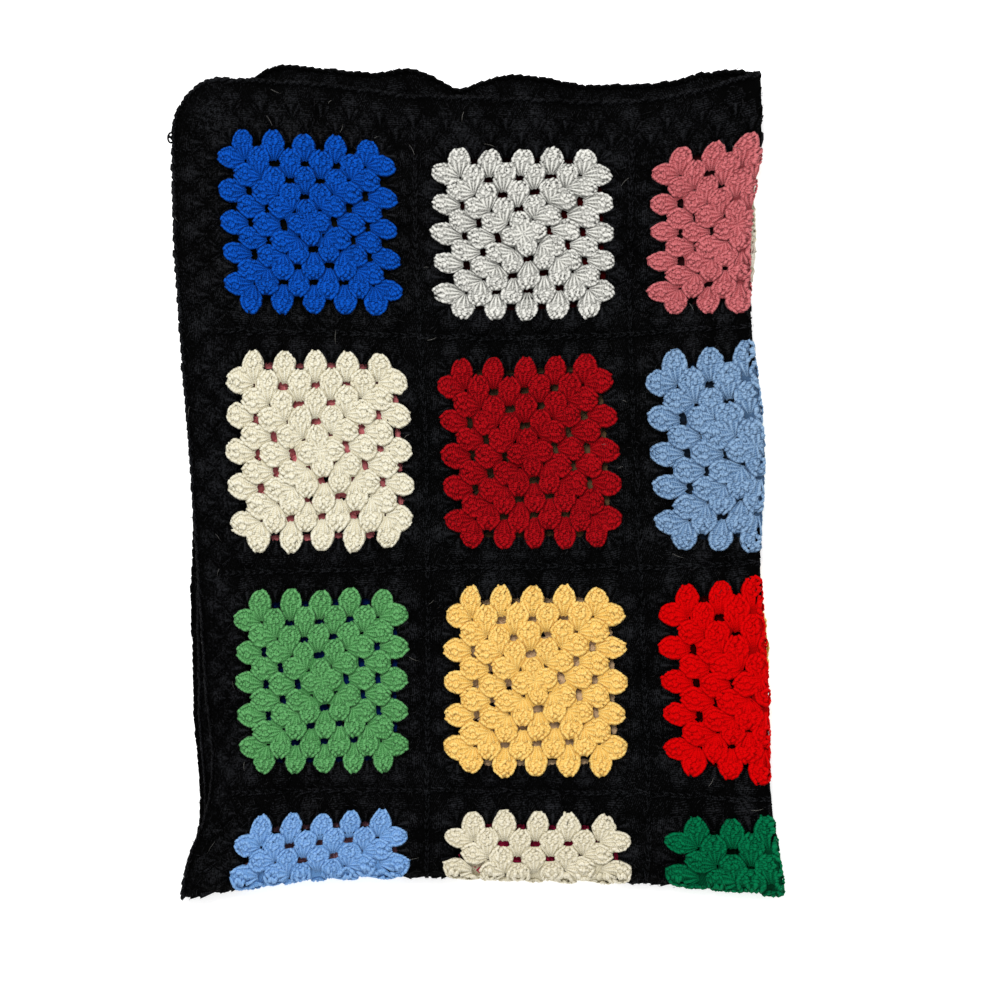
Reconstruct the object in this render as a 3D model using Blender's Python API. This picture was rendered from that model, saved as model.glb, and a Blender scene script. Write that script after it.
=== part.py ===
"""Granny square blanket, folded in quarters and lying on a flat surface.

One crocheted sheet of 5 by 7 granny squares with a border all round is folded
twice: first down the middle, so that its left and right halves lie back to
back, and then across, so that four layers lie on each other. The sheet is cut
flat, with the largest gap of each repeat cut through it, then given its
thickness, and last every corner of it is carried round the two folds.

Layers from the top: 1 (front up), 2 (front down), 3 (front up), 4 (front
down). Layers 1 and 2, and 3 and 4, join at the fold on the right. Layers 1
and 4, and 2 and 3, join at the fold at the bottom. The edges at the top and
on the left are open.

Metres, +Z up, +X to the right and +Y up the blanket. The underside lies on
z = 0, and the origin is under the middle of the folded stack.
"""

import math

import bmesh
import bpy
import numpy as np
from mathutils import Vector
from mathutils.geometry import delaunay_2d_cdt

MM = 0.001

# The flat sheet: u runs across it from its left edge, v down it from its top.
COLUMNS = 5
ROWS = 7
SQUARE = 165 * MM            # side of one square with its black outer round
BORDER = 30 * MM             # two black rounds and the edging
WIDTH = COLUMNS * SQUARE + 2 * BORDER
LENGTH = ROWS * SQUARE + 2 * BORDER
CORNER_RADIUS = 38 * MM      # the corners of a granny border are drawn round
CORNER_STEPS = 5
THICKNESS = 4.2 * MM         # treble stitches in thick yarn

# The gaps that are cut: eight in each square, in the fourth round of clusters.
CLUSTER_PITCH = 23 * MM
GAP_FROM_MIDDLE = 33.5 * MM
GAP_HALF_WIDTH = 4.2 * MM
GAP_HALF_HEIGHT = 3.0 * MM
GAP_CLEAR_OF_FOLD = 8 * MM   # a gap nearer than this to a fold stays closed

# The two folds.
LAYER_PITCH = 5.7 * MM       # from the middle of one layer to the next
RIGHT_FOLD = BORDER + 2.5 * SQUARE + 8.0 * MM
BOTTOM_FOLD = BORDER + 3.5 * SQUARE - 9.5 * MM
RIGHT_RADIUS = LAYER_PITCH / 2
BOTTOM_RADIUS = LAYER_PITCH
RIGHT_HALF_BEND = math.pi / 2 * RIGHT_RADIUS
BOTTOM_HALF_BEND = math.pi / 2 * BOTTOM_RADIUS
STACK_AXIS = 1.5 * LAYER_PITCH + THICKNESS / 2
BACK_STRETCH = 1.02          # layers 2 and 3 lie a little drawn out sideways
UNDER_STRETCH = 0.955        # layers 3 and 4 lie a little drawn in lengthwise
UNDER_RAMP = 60 * MM         # how soon a lower layer drifts off from the fold

# Where the lines of the top layer lie, in millimetres. The flat places of the
# lines come first. TIPS is the line through the tips of a coloured square.
TIP_INSET = 12.5 * MM


def tip_lines(count):
    """Return the flat places of the two tip lines of each of count squares."""
    starts = [BORDER + i * SQUARE for i in range(count)]
    return [s + off for s in starts for off in (TIP_INSET, SQUARE - TIP_INSET)]


RIGHT_EDGE = RIGHT_FOLD - RIGHT_HALF_BEND + RIGHT_RADIUS + THICKNESS / 2
BOTTOM_EDGE = BOTTOM_FOLD - BOTTOM_HALF_BEND + 1.5 * LAYER_PITCH + THICKNESS / 2
ACROSS_LINES = [0.0] + tip_lines(3)[:5] + [RIGHT_EDGE]
DOWN_LINES = [0.0] + tip_lines(4)[:7] + [BOTTOM_EDGE]
MIDDLES = [BORDER + (i + 0.5) * SQUARE for i in range(4)]
JOINS = [BORDER + (i + 1) * SQUARE for i in range(3)]

# x of: open left edge, the tip lines of columns 1, 2 and 3, right fold
X_STATIONS = [0.0, BORDER + TIP_INSET, MIDDLES[0], JOINS[0], MIDDLES[1],
              JOINS[1], MIDDLES[2], JOINS[2], BOTTOM_EDGE]
X_OF_LINES = [
    (-226, -197, -63, -35, 101, 134, 216.5),     # top edge
    (-230, -195, -61, -33, 102, 133, 216.0),     # tips of row 1
    (-230, -192, -59, -32.5, 103, 130, 207.5),   # middle of row 1
    (-225, -188, -55, -30, 105, 128.5, 207.5),   # join of rows 1 and 2
    (-217.5, -188, -49.5, -26, 109, 132, 218.0),  # middle of row 2
    (-211.5, -183.5, -49, -23.5, 112, 137.5, 214.5),  # join of rows 2 and 3
    (-205, -181.5, -50, -23, 114, 140.5, 221.5),  # middle of row 3
    (-202.5, -180, -50, -24.5, 116, 144, 223.5),  # join of rows 3 and 4
    (-225, -187, -48.5, -26, 117.5, 141.5, 233),  # bottom fold
]
# y of: open top edge, the tip lines of rows 1 to 4, bottom fold
Y_STATIONS = [0.0, MIDDLES[0], JOINS[0], MIDDLES[1], JOINS[1], RIGHT_EDGE]
Y_OF_LINES = [
    (306, 268.5, 131, 98.5, -54, -84.5, -220.5, -254.5, -314),  # left edge
    (301.5, 263, 127.5, 98.5, -53.5, -81, -220, -247.5, -303),  # column 1
    (294, 254, 124.5, 95, -50.5, -80, -220, -247, -299.5),  # join 1 and 2
    (291, 253, 122, 94.5, -50.5, -78.5, -222, -248.5, -303),  # column 2
    (289.5, 251.5, 125.5, 98, -50.5, -80, -221.5, -251, -302),  # join 2 and 3
    (307, 263, 130.5, 106.5, -49, -74, -227.5, -254.5, -313),  # right fold
]
MIDDLE_SHIFT = (-0.8, -0.5)  # brings the middle of the box to the origin, mm

# How far layer 2 reaches past layer 1 at the open top edge: x, reach, in mm
TOP_REACH = [
    (-230, -8), (-175, -2), (-152, 11), (-125, 13.5), (-75, 14), (-50, 17),
    (-27, 9), (-14, 2), (2, 10), (20, 16), (41, 16.5), (86, 9.5), (132, 12.5),
    (170, 13), (200, 14), (216, 6),
]
TOP_RAMP = 120 * MM
# How far layers 3 and 4 reach past layer 1 on the left and at the right fold:
# y, left, right, in mm
SIDE_REACH = [
    (310, -5, -3), (250, -3, -2), (215, -2, 1), (185, -2, 5), (160, -2, 4),
    (135, -2, -1), (25, -1, -3), (-50, 4, -1), (-120, 9, 2), (-150, 10, 0),
    (-205, 10, -3), (-240, 8, -3), (-272, 1, -2), (-315, 0, 0),
]
SIDE_RAMP = 150 * MM
# The stack isn't quite level: the upper layers ride over soft hills.
HILL_HEIGHT = 2.4 * MM
HILL_LENGTH_X = 265 * MM
HILL_LENGTH_Y = 330 * MM

# How finely the flat sheet is divided before it is folded.
GRID_STEP = SQUARE / 2
EDGE_STEP = SQUARE / 8
FOLD_STEP = SQUARE / 4
BEND_STEPS = 3               # on each side of a fold's middle line
GRID_CLEAR_OF_FOLD = 10 * MM
DRAWING_GRAIN = 0.01 * MM    # points nearer than this are one


def table_value(along, stations, across, lines, table):
    """Read a table of stations by lines: smooth along, straight across."""
    stations = np.asarray(stations)
    values = np.asarray(table, dtype=float)
    slopes = np.gradient(values, stations, axis=0)
    i = np.clip(np.searchsorted(stations, along) - 1, 0, len(stations) - 2)
    span = stations[i + 1] - stations[i]
    t = np.clip((along - stations[i]) / span, 0.0, 1.0)[:, None]
    span = span[:, None]
    rows = ((1 + 2 * t) * (1 - t) ** 2 * values[i]
            + t * (1 - t) ** 2 * span * slopes[i]
            + t ** 2 * (3 - 2 * t) * values[i + 1]
            + t ** 2 * (t - 1) * span * slopes[i + 1])
    lines = np.asarray(lines)
    j = np.clip(np.searchsorted(lines, across) - 1, 0, len(lines) - 2)
    share = (across - lines[j]) / (lines[j + 1] - lines[j])
    pick = np.arange(len(along))
    return rows[pick, j] * (1 - share) + rows[pick, j + 1] * share


def ramp(value):
    """Go smoothly from 0 to 1 as value does."""
    t = np.clip(value, 0.0, 1.0)
    return t * t * (3 - 2 * t)


def reach(table, at, column):
    """Read one column of a reach table, smoothly between its rows."""
    rows = np.asarray(table, dtype=float)
    order = np.argsort(rows[:, 0])
    places = rows[order, 0] * MM
    values = np.column_stack([rows[order, column]] * 2)
    inside = np.clip(at, places[0], places[-1])
    return table_value(inside, places, np.zeros_like(at), [0.0, 1.0], values) * MM


def fold_sheet(u, v, lift):
    """Carry points of the flat sheet round both folds.

    lift is the height of a point above the middle of the sheet, on its front.
    The result is an array of x, y and z.
    """
    # first fold: a half turn at the right joins layers 1 and 2
    from_right = RIGHT_FOLD - u
    turn = np.clip(from_right / RIGHT_RADIUS, -math.pi / 2, math.pi / 2)
    flat = np.abs(from_right) - RIGHT_HALF_BEND
    back = from_right < 0
    run = np.where(flat > 0, -flat * np.where(back, BACK_STRETCH, 1.0),
                   (RIGHT_RADIUS + lift) * np.cos(turn))
    across = RIGHT_FOLD - RIGHT_HALF_BEND + run
    rise = (RIGHT_RADIUS + lift) * np.sin(turn)
    # second fold: a half turn at the bottom takes both over layers 3 and 4
    from_bottom = BOTTOM_FOLD - v
    turn = np.clip(from_bottom / BOTTOM_RADIUS, -math.pi / 2, math.pi / 2)
    flat = np.abs(from_bottom) - BOTTOM_HALF_BEND
    under = from_bottom < 0
    run = np.where(flat > 0, -flat * np.where(under, UNDER_STRETCH, 1.0),
                   (BOTTOM_RADIUS + rise) * np.cos(turn))
    down = BOTTOM_FOLD - BOTTOM_HALF_BEND + run
    z = STACK_AXIS + (BOTTOM_RADIUS + rise) * np.sin(turn)
    # where those places lie in the stack
    x = table_value(down, X_STATIONS, across, ACROSS_LINES, X_OF_LINES) * MM
    y = table_value(across, Y_STATIONS, down, DOWN_LINES, Y_OF_LINES) * MM
    # how the lower layers lie a little off from the top one
    is_back = ramp(-from_right / UNDER_RAMP)
    is_under = ramp(-from_bottom / UNDER_RAMP)
    near_top = ramp(1 - down / TOP_RAMP)
    y = y + reach(TOP_REACH, x, 1) * is_back * (1 - is_under) * near_top
    near_left = ramp(1 - across / SIDE_RAMP)
    near_right = ramp(1 - (RIGHT_EDGE - across) / SIDE_RAMP)
    x = x - reach(SIDE_REACH, y, 1) * is_under * near_left
    x = x + reach(SIDE_REACH, y, 2) * is_under * near_right
    # soft hills under the upper layers, none under the one that lies flat
    base = THICKNESS + 0.5 * MM
    share = np.clip((z - base) / (2 * STACK_AXIS - base), 0.0, None)
    hills = (1 + np.sin(2 * math.pi * x / HILL_LENGTH_X + 0.7)
             * np.cos(2 * math.pi * y / HILL_LENGTH_Y - 0.4)) / 2
    z = z + HILL_HEIGHT * hills * share
    shift = np.asarray(MIDDLE_SHIFT) * MM
    return np.column_stack([x + shift[0], y + shift[1], z])


def spaced(start, stop, step):
    """Return evenly spaced places from start to stop, about step apart."""
    count = max(1, round((stop - start) / step))
    return [start + (stop - start) * i / count for i in range(count + 1)]


def outline_points():
    """Return the flat sheet's outline, with round corners, as one loop."""
    r = CORNER_RADIUS
    across = places_along(fold_lines(RIGHT_FOLD, RIGHT_HALF_BEND),
                          r, WIDTH - r, EDGE_STEP)[1:-1]
    down = places_along(fold_lines(BOTTOM_FOLD, BOTTOM_HALF_BEND),
                        r, LENGTH - r, EDGE_STEP)[1:-1]
    corners = [(WIDTH - r, LENGTH - r, 0), (r, LENGTH - r, 90),
               (r, r, 180), (WIDTH - r, r, 270)]
    sides = [
        [(WIDTH, v) for v in down],
        [(u, LENGTH) for u in reversed(across)],
        [(0.0, v) for v in reversed(down)],
        [(u, 0.0) for u in across],
    ]
    loop = []
    for (cu, cv, angle), side in zip(corners, sides):
        loop += side        # up to the corner, then round it
        for i in range(CORNER_STEPS + 1):
            a = math.radians(angle + 90 * i / CORNER_STEPS)
            loop.append((cu + r * math.cos(a), cv + r * math.sin(a)))
    return loop


def fold_lines(fold, half_bend):
    """Return the lines that run along a fold, where the sheet bends."""
    return [fold + half_bend * i / BEND_STEPS
            for i in range(-BEND_STEPS, BEND_STEPS + 1)]


def places_along(lines, start, stop, step):
    """Return places from start to stop that take in all the lines of a fold."""
    return (spaced(start, lines[0], step)[:-1] + lines
            + spaced(lines[-1], stop, step)[1:])


def fold_rows():
    """Return rows of points along both folds, from edge to edge."""
    across = fold_lines(RIGHT_FOLD, RIGHT_HALF_BEND)
    down = fold_lines(BOTTOM_FOLD, BOTTOM_HALF_BEND)
    us = places_along(across, 0.0, WIDTH, FOLD_STEP)
    vs = places_along(down, 0.0, LENGTH, FOLD_STEP)
    return ([[(u, v) for v in vs] for u in across]
            + [[(u, v) for u in us] for v in down])


def square_gaps():
    """Return the loops of the gaps that are cut through the sheet."""
    half = CLUSTER_PITCH / 2
    far = GAP_FROM_MIDDLE
    places = [(su * half, sv * far, False) for su in (-1, 1) for sv in (-1, 1)]
    places += [(su * far, sv * half, True) for su in (-1, 1) for sv in (-1, 1)]
    loops = []
    for row in range(ROWS):
        for column in range(COLUMNS):
            mid_u = BORDER + (column + 0.5) * SQUARE
            mid_v = BORDER + (row + 0.5) * SQUARE
            for du, dv, upright in places:
                u, v = mid_u + du, mid_v + dv
                if (abs(u - RIGHT_FOLD) < GAP_CLEAR_OF_FOLD
                        or abs(v - BOTTOM_FOLD) < BOTTOM_HALF_BEND):
                    continue
                a, b = GAP_HALF_WIDTH, GAP_HALF_HEIGHT
                if upright:
                    a, b = b, a
                loops.append([(u + a, v), (u, v + b), (u - a, v), (u, v - b)])
    return loops


def grid_points():
    """Return points between the gaps that let the sheet follow its hills."""
    clear_across = RIGHT_HALF_BEND + GRID_CLEAR_OF_FOLD
    clear_down = BOTTOM_HALF_BEND + GRID_CLEAR_OF_FOLD
    us = [BORDER + i * GRID_STEP for i in range(2 * COLUMNS + 1)]
    vs = [BORDER + j * GRID_STEP for j in range(2 * ROWS + 1)]
    return [(u, v) for u in us for v in vs
            if abs(u - RIGHT_FOLD) > clear_across
            and abs(v - BOTTOM_FOLD) > clear_down]


def flat_triangles():
    """Divide the flat sheet into triangles round its gaps."""
    points, edges = [], []

    def add_chain(chain, closed):
        first = len(points)
        points.extend(chain)
        edges.extend((first + i, first + i + 1) for i in range(len(chain) - 1))
        if closed:
            edges.append((first + len(chain) - 1, first))

    add_chain(outline_points(), True)
    gaps = square_gaps()
    for loop in gaps:
        add_chain(loop, True)
    for row in fold_rows():
        add_chain(row, False)
    points.extend(grid_points())
    verts, _, faces, *_ = delaunay_2d_cdt(
        [Vector(p) for p in points], edges, [], 0, DRAWING_GRAIN)
    flat = np.array([tuple(v) for v in verts])
    middles = flat[np.array([tuple(f) for f in faces])].mean(axis=1)
    keep = np.ones(len(faces), dtype=bool)
    for loop in gaps:
        centre = np.mean(loop, axis=0)
        half_size = np.abs(np.asarray(loop) - centre).max(axis=0)
        keep &= (np.abs(middles - centre) / half_size).sum(axis=1) > 1.0
    return flat, [f for f, k in zip(faces, keep) if k]


def build_blanket():
    """Build the folded blanket as one closed solid."""
    flat, faces = flat_triangles()
    bm = bmesh.new()
    verts = [bm.verts.new((u, v, THICKNESS / 2)) for u, v in flat]
    for face in faces:
        bm.faces.new([verts[i] for i in face])
    loose = [v for v in bm.verts if not v.link_faces]
    bmesh.ops.delete(bm, geom=loose, context="VERTS")
    raised = bmesh.ops.extrude_face_region(bm, geom=list(bm.faces))
    lower = [g for g in raised["geom"] if isinstance(g, bmesh.types.BMVert)]
    bmesh.ops.translate(bm, verts=lower, vec=(0, 0, -THICKNESS))
    at = np.array([tuple(v.co) for v in bm.verts])
    placed = fold_sheet(at[:, 0], at[:, 1], at[:, 2])
    for vert, place in zip(bm.verts, placed):
        vert.co = place
    bmesh.ops.triangulate(bm, faces=list(bm.faces))
    bmesh.ops.recalc_face_normals(bm, faces=list(bm.faces))
    mesh = bpy.data.meshes.new("blanket")
    bm.to_mesh(mesh)
    bm.free()
    mesh.materials.append(black_yarn())
    blanket = bpy.data.objects.new("blanket", mesh)
    bpy.context.scene.collection.objects.link(blanket)
    return blanket


def black_yarn():
    """Return the material of the yarn that frames every square."""
    material = bpy.data.materials.new("black_yarn")
    material.use_nodes = True
    shader = material.node_tree.nodes["Principled BSDF"]
    shader.inputs["Base Color"].default_value = (0.010, 0.011, 0.013, 1.0)
    shader.inputs["Roughness"].default_value = 0.95
    shader.inputs["Metallic"].default_value = 0.0
    return material


def main():
    """Clear the scene and build the blanket."""
    for old in list(bpy.data.objects):
        bpy.data.objects.remove(old, do_unlink=True)
    build_blanket()


main()
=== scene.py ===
"""Granny square blanket, folded in quarters: its yarn, stitches and studio.

The blanket is worked stitch by stitch on its flat plan, where u runs across it
from its left edge and v down it from its top, and every point is then carried
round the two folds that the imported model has. Lift is the height of a point
above the middle of the fabric, on its front. Stitches are drawn in
millimetres, and everything else is in metres.
"""

import logging
import math
from dataclasses import dataclass, replace
from enum import Enum
from typing import Any, Iterable, NamedTuple

import bmesh
import bpy
import numpy as np
from bpy.types import Material, Node, NodeSocket, NodeTree, Object, Scene
from mathutils import Matrix, Vector
from mathutils.geometry import delaunay_2d_cdt


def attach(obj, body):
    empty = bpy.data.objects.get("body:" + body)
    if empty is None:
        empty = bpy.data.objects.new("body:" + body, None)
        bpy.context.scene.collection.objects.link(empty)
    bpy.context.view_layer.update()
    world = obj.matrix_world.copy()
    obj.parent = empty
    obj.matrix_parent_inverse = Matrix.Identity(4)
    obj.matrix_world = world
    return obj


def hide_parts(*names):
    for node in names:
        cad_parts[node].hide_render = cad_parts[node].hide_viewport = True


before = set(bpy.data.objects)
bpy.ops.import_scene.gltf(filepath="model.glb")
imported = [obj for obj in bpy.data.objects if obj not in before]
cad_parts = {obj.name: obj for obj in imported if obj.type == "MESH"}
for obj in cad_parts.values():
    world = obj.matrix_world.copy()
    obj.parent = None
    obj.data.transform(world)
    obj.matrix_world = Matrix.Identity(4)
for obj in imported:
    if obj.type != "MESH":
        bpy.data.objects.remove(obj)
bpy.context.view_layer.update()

log = logging.getLogger("blanket")

MM = 0.001
STRAND_MAP = "strand"        # how far along its yarn, and round it, a point is
PAINTED_LIGHT = "painted_light"                  # painted light: 0 shaded deep in the fabric to 1 lit on its top
FULL_LIGHT_HEIGHT = 3.3             # lift in mm where the fabric's top begins, in full painted light
BODY = "root"
SEED = 20

Pair = tuple[float, float]
Triple = tuple[float, float, float]
Flat = Pair                  # a place on the flat fabric
Point = Triple
Table = tuple[tuple[float, ...], ...]
Chance = np.random.Generator


# ---------------------------------------------------------------- the finishes

def linear(code: str) -> tuple[float, float, float, float]:
    """Turn an sRGB hex code into linear light.

    Args:
        code: six hex digits after a #.

    Returns:
        Red, green, blue and an alpha of 1.
    """
    parts = [int(code[i:i + 2], 16) / 255 for i in (1, 3, 5)]
    red, green, blue = (p / 12.92 if p <= 0.04045 else ((p + 0.055) / 1.055) ** 2.4
                        for p in parts)
    return red, green, blue, 1.0


def add_node(tree: NodeTree, kind: str, inputs: dict[Any, Any] | None = None,
             **settings: Any) -> Node:
    """Add a node with its settings, values and links.

    Args:
        tree: the node tree that the node joins.
        kind: the node's type name.
        inputs: a value or another node's output for each named input.
        settings: the node's own properties.

    Returns:
        The new node.
    """
    node = tree.nodes.new(kind)
    for name, value in settings.items():
        setattr(node, name, value)
    for name, value in (inputs or {}).items():
        if isinstance(value, NodeSocket):
            tree.links.new(value, node.inputs[name])
        else:
            node.inputs[name].default_value = value
    return node


@dataclass(frozen=True)
class Yarn:
    """Plied acrylic worsted yarn, the usual blanket yarn.

    Its plies give fine slanting stripes along each strand, bumped and with
    painted shade in their grooves, and its brushed fibres a soft, nearly matt
    face with a faint pale bloom at the edges. Deep loops and pits get painted
    shade too.
    """

    slot: str
    light: str                      # where the plies catch the light
    deep: str                       # painted shade in the grooves between the plies and in deep loops
    kind: str = "acrylic"
    bloom: float = 0.08             # sheen of loose fibre
    mottle: float = 0.25            # how much the dye varies
    hollow: float = 0.6             # how much painted shade darkens the deepest loops
    pit: float = 0.1                # painted light left in the deepest pit
    contrast: float = 0.42
    lean: float = 0.0               # how far the mix leans to the deep colour
    # painted light that most loops have, where the mix is centred
    usual_light: float = 0.6
    ply_length: float = 3.2         # one turn of the plies, mm
    plies: int = 2                  # stripes to a turn
    ply_depth: float = 0.2          # next to the fibres' relief of 1
    fibre_size: float = 1.3         # mm; coarser than real so that it shows
    fibre_detail: float = 3.0
    patch_size: float = 26.0        # mm
    patch_detail: float = 2.0
    relief_depth: float = 0.6       # mm
    relief_share: float = 0.8
    roughness: float = 0.88
    specular: float = 0.04
    bloom_roughness: float = 0.5

    def relief(self, tree: NodeTree) -> NodeSocket:
        """Add the nodes for the relief of the plies and fibres.

        Args:
            tree: the material's nodes.

        Returns:
            The output that gives the relief's height.
        """
        strand = add_node(tree, "ShaderNodeUVMap", uv_map=STRAND_MAP)
        parts = add_node(tree, "ShaderNodeSeparateXYZ", {0: strand.outputs["UV"]})
        turns = add_node(tree, "ShaderNodeMath",
                         {0: parts.outputs["X"], 1: 1 / self.ply_length,
                          2: parts.outputs["Y"]}, operation="MULTIPLY_ADD")
        angle = add_node(tree, "ShaderNodeMath",
                         {0: turns.outputs[0], 1: self.plies * 2 * math.pi},
                         operation="MULTIPLY")
        ply = add_node(tree, "ShaderNodeMath", {0: angle.outputs[0]}, operation="SINE")
        place = add_node(tree, "ShaderNodeTexCoord")
        fibre = add_node(tree, "ShaderNodeTexNoise",
                         {"Vector": place.outputs["Object"],
                          "Scale": 1 / (self.fibre_size * MM), "Detail": self.fibre_detail})
        both = add_node(tree, "ShaderNodeMath",
                        {0: ply.outputs[0], 1: self.ply_depth, 2: fibre.outputs["Fac"]},
                        operation="MULTIPLY_ADD")
        return both.outputs[0]

    def colour(self, tree: NodeTree, relief: NodeSocket) -> NodeSocket:
        """Add the nodes for the yarn's colour: its dye, with painted shade.

        Args:
            tree: the material's nodes.
            relief: the output that gives the relief's height.

        Returns:
            The output that gives the colour.
        """
        place = add_node(tree, "ShaderNodeTexCoord")
        patch = add_node(tree, "ShaderNodeTexNoise",
                         {"Vector": place.outputs["Object"],
                          "Scale": 1 / (self.patch_size * MM), "Detail": self.patch_detail})
        # the dye's mottle, and the relief of plies and fibres as painted shade in their grooves
        shade = add_node(tree, "ShaderNodeMath",
                         {0: patch.outputs["Fac"], 1: self.mottle, 2: relief},
                         operation="MULTIPLY_ADD")
        # painted shade: the loops that lie deepest are darker
        painted_light = add_node(tree, "ShaderNodeAttribute", attribute_name=PAINTED_LIGHT)
        sunk = add_node(tree, "ShaderNodeMath",
                        {0: painted_light.outputs["Fac"], 1: self.hollow, 2: shade.outputs[0]},
                        operation="MULTIPLY_ADD")
        middle = 0.5 + self.mottle / 2 + self.hollow * self.usual_light + self.lean
        share = add_node(tree, "ShaderNodeMapRange",
                         {"Value": sunk.outputs[0], "From Min": middle - self.contrast,
                          "From Max": middle + self.contrast})
        mixed = add_node(tree, "ShaderNodeMix",
                         {"Factor": share.outputs["Result"],
                          6: linear(self.deep), 7: linear(self.light)}, data_type="RGBA")
        # painted shade: little pits between the top loops are darker still
        pit = add_node(tree, "ShaderNodeMapRange",
                       {"Value": painted_light.outputs["Fac"], "From Min": -1.0, "From Max": 0.0,
                        "To Min": self.pit})
        dye_and_shade = add_node(tree, "ShaderNodeVectorMath",
                        {0: mixed.outputs[2], "Scale": pit.outputs["Result"]},
                        operation="SCALE")
        return dye_and_shade.outputs[0]

    def material(self) -> Material:
        """Make the yarn's material the first time that it is asked for.

        Returns:
            The material.
        """
        name = f"{self.kind}_{self.slot}"
        made = bpy.data.materials.get(name)
        if made:
            return made
        made = bpy.data.materials.new(name)
        made.use_nodes = True
        tree = made.node_tree
        shader = tree.nodes["Principled BSDF"].inputs
        relief = self.relief(tree)
        bump = add_node(tree, "ShaderNodeBump",
                        {"Height": relief, "Strength": self.relief_share,
                         "Distance": self.relief_depth * MM})
        tree.links.new(self.colour(tree, relief), shader["Base Color"])
        tree.links.new(bump.outputs["Normal"], shader["Normal"])
        shader["Roughness"].default_value = self.roughness
        shader["Specular IOR Level"].default_value = self.specular
        shader["Sheen Weight"].default_value = self.bloom
        shader["Sheen Roughness"].default_value = self.bloom_roughness
        return made


BLACK = Yarn("black_yarn", "#222326", "#000000", bloom=0.0, mottle=0.4, hollow=0.25,
             contrast=0.14, lean=0.085, ply_depth=0.1)
ROYAL = Yarn("royal_blue_yarn", "#0C58C4", "#022E76", bloom=0.01, contrast=0.34)
# a heather twist: one ply of each turn is darker than the other
GREY = Yarn("pale_grey_yarn", "#E9E8E1", "#74746F", hollow=0.9, ply_length=4.4,
            ply_depth=0.13)
ROSE = Yarn("dusty_rose_yarn", "#D5767A", "#984246", contrast=0.36)
CREAM = Yarn("cream_yarn", "#F1EDDA", "#CFC6A8")
DARK_RED = Yarn("dark_red_yarn", "#B00C16", "#600005", bloom=0.01, hollow=0.4,
                contrast=0.26)
LIGHT_BLUE = Yarn("light_blue_yarn", "#8FAFD0", "#4F7096", contrast=0.36)
GREEN = Yarn("leaf_green_yarn", "#6BB16D", "#38773C", contrast=0.37)
YELLOW = Yarn("golden_yellow_yarn", "#FFDC85", "#E2B050")
RED = Yarn("bright_red_yarn", "#E00205", "#C20001", bloom=0.0, hollow=0.3)
SKY = Yarn("sky_blue_yarn", "#8DB8EA", "#5F8FC6")
OFF_WHITE = Yarn("off_white_yarn", "#F2EBD6", "#CFC6A8")
EMERALD = Yarn("emerald_green_yarn", "#04784A", "#00462A", bloom=0.0)
RASPBERRY = Yarn("raspberry_yarn", "#BE2450", "#8A1234", bloom=0.03)
TAN = Yarn("tan_yarn", "#DDBB92", "#A8845E")
MAUVE = Yarn("mauve_yarn", "#C893A0", "#986874")
OLIVE = Yarn("olive_yarn", "#42422C", "#24241A", bloom=0.02)
LINT = Yarn("off_white_yarn", "#8E8C86", "#5E5C57", kind="lint_in")
FUZZ = Yarn("black_yarn", "#38383A", "#1C1C1E", bloom=0.0, kind="loose")

# The colour of every square, row by row from the top of the flat blanket
COLOURS: tuple[tuple[Yarn, ...], ...] = (
    (ROYAL, GREY, ROSE, DARK_RED, OLIVE),
    (CREAM, DARK_RED, LIGHT_BLUE, TAN, ROSE),
    (GREEN, YELLOW, RED, TAN, ROYAL),
    (SKY, OFF_WHITE, EMERALD, RASPBERRY, MAUVE),
    (RASPBERRY, OLIVE, YELLOW, ROYAL, CREAM),
    (LIGHT_BLUE, MAUVE, GREEN, RED, EMERALD),
    (RED, TAN, CREAM, GREY, SKY),
)


@dataclass(frozen=True)
class TableTop:
    """A lit opal acrylic panel: an even white face that swallows soft shadows."""

    colour: str = "#FBFBFB"
    glow: float = 0.5
    grain_size: float = 40.0        # mm
    roughness: Pair = (0.86, 0.92)  # from the smoothest to the roughest grain

    def material(self) -> Material:
        """Make the panel's material.

        Returns:
            The material.
        """
        made = bpy.data.materials.new("opal_acrylic_panel")
        made.use_nodes = True
        tree = made.node_tree
        shader = tree.nodes["Principled BSDF"].inputs
        place = add_node(tree, "ShaderNodeTexCoord")
        grain = add_node(tree, "ShaderNodeTexNoise",
                         {"Vector": place.outputs["Object"],
                          "Scale": 1 / (self.grain_size * MM)})
        rough = add_node(tree, "ShaderNodeMapRange",
                         {"Value": grain.outputs["Fac"], "To Min": self.roughness[0],
                          "To Max": self.roughness[1]})
        shader["Base Color"].default_value = linear(self.colour)
        shader["Emission Color"].default_value = linear(self.colour)
        shader["Emission Strength"].default_value = self.glow
        tree.links.new(rough.outputs["Result"], shader["Roughness"])
        return made


# ------------------------------------------------------------- the flat fabric

@dataclass(frozen=True)
class Sheet:
    """The flat blanket: its squares and its border."""

    columns: int = 5
    rows: int = 7
    square: float = 165 * MM
    border: float = 30 * MM
    corner_radius: float = 44 * MM
    width: float = 885 * MM
    length: float = 1215 * MM

    def middle(self, row: int, column: int) -> Flat:
        """Return the flat place of a square's middle; both count from 0."""
        return (self.border + (column + 0.5) * self.square,
                self.border + (row + 0.5) * self.square)

    def squares(self) -> Iterable[tuple[int, int]]:
        """Give the row and column of every square."""
        return ((r, c) for r in range(self.rows) for c in range(self.columns))


SHEET = Sheet()

# The places of the top layer's lines are tabled in millimetres. On the flat
# fabric these lines run through the tips of the coloured squares, this far in.
TIP_INSET = 12.5 * MM


def tip_lines(count: int) -> list[float]:
    """Return the flat places of the two tip lines of each of count squares."""
    starts = [SHEET.border + i * SHEET.square for i in range(count)]
    return [s + off for s in starts for off in (TIP_INSET, SHEET.square - TIP_INSET)]


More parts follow.
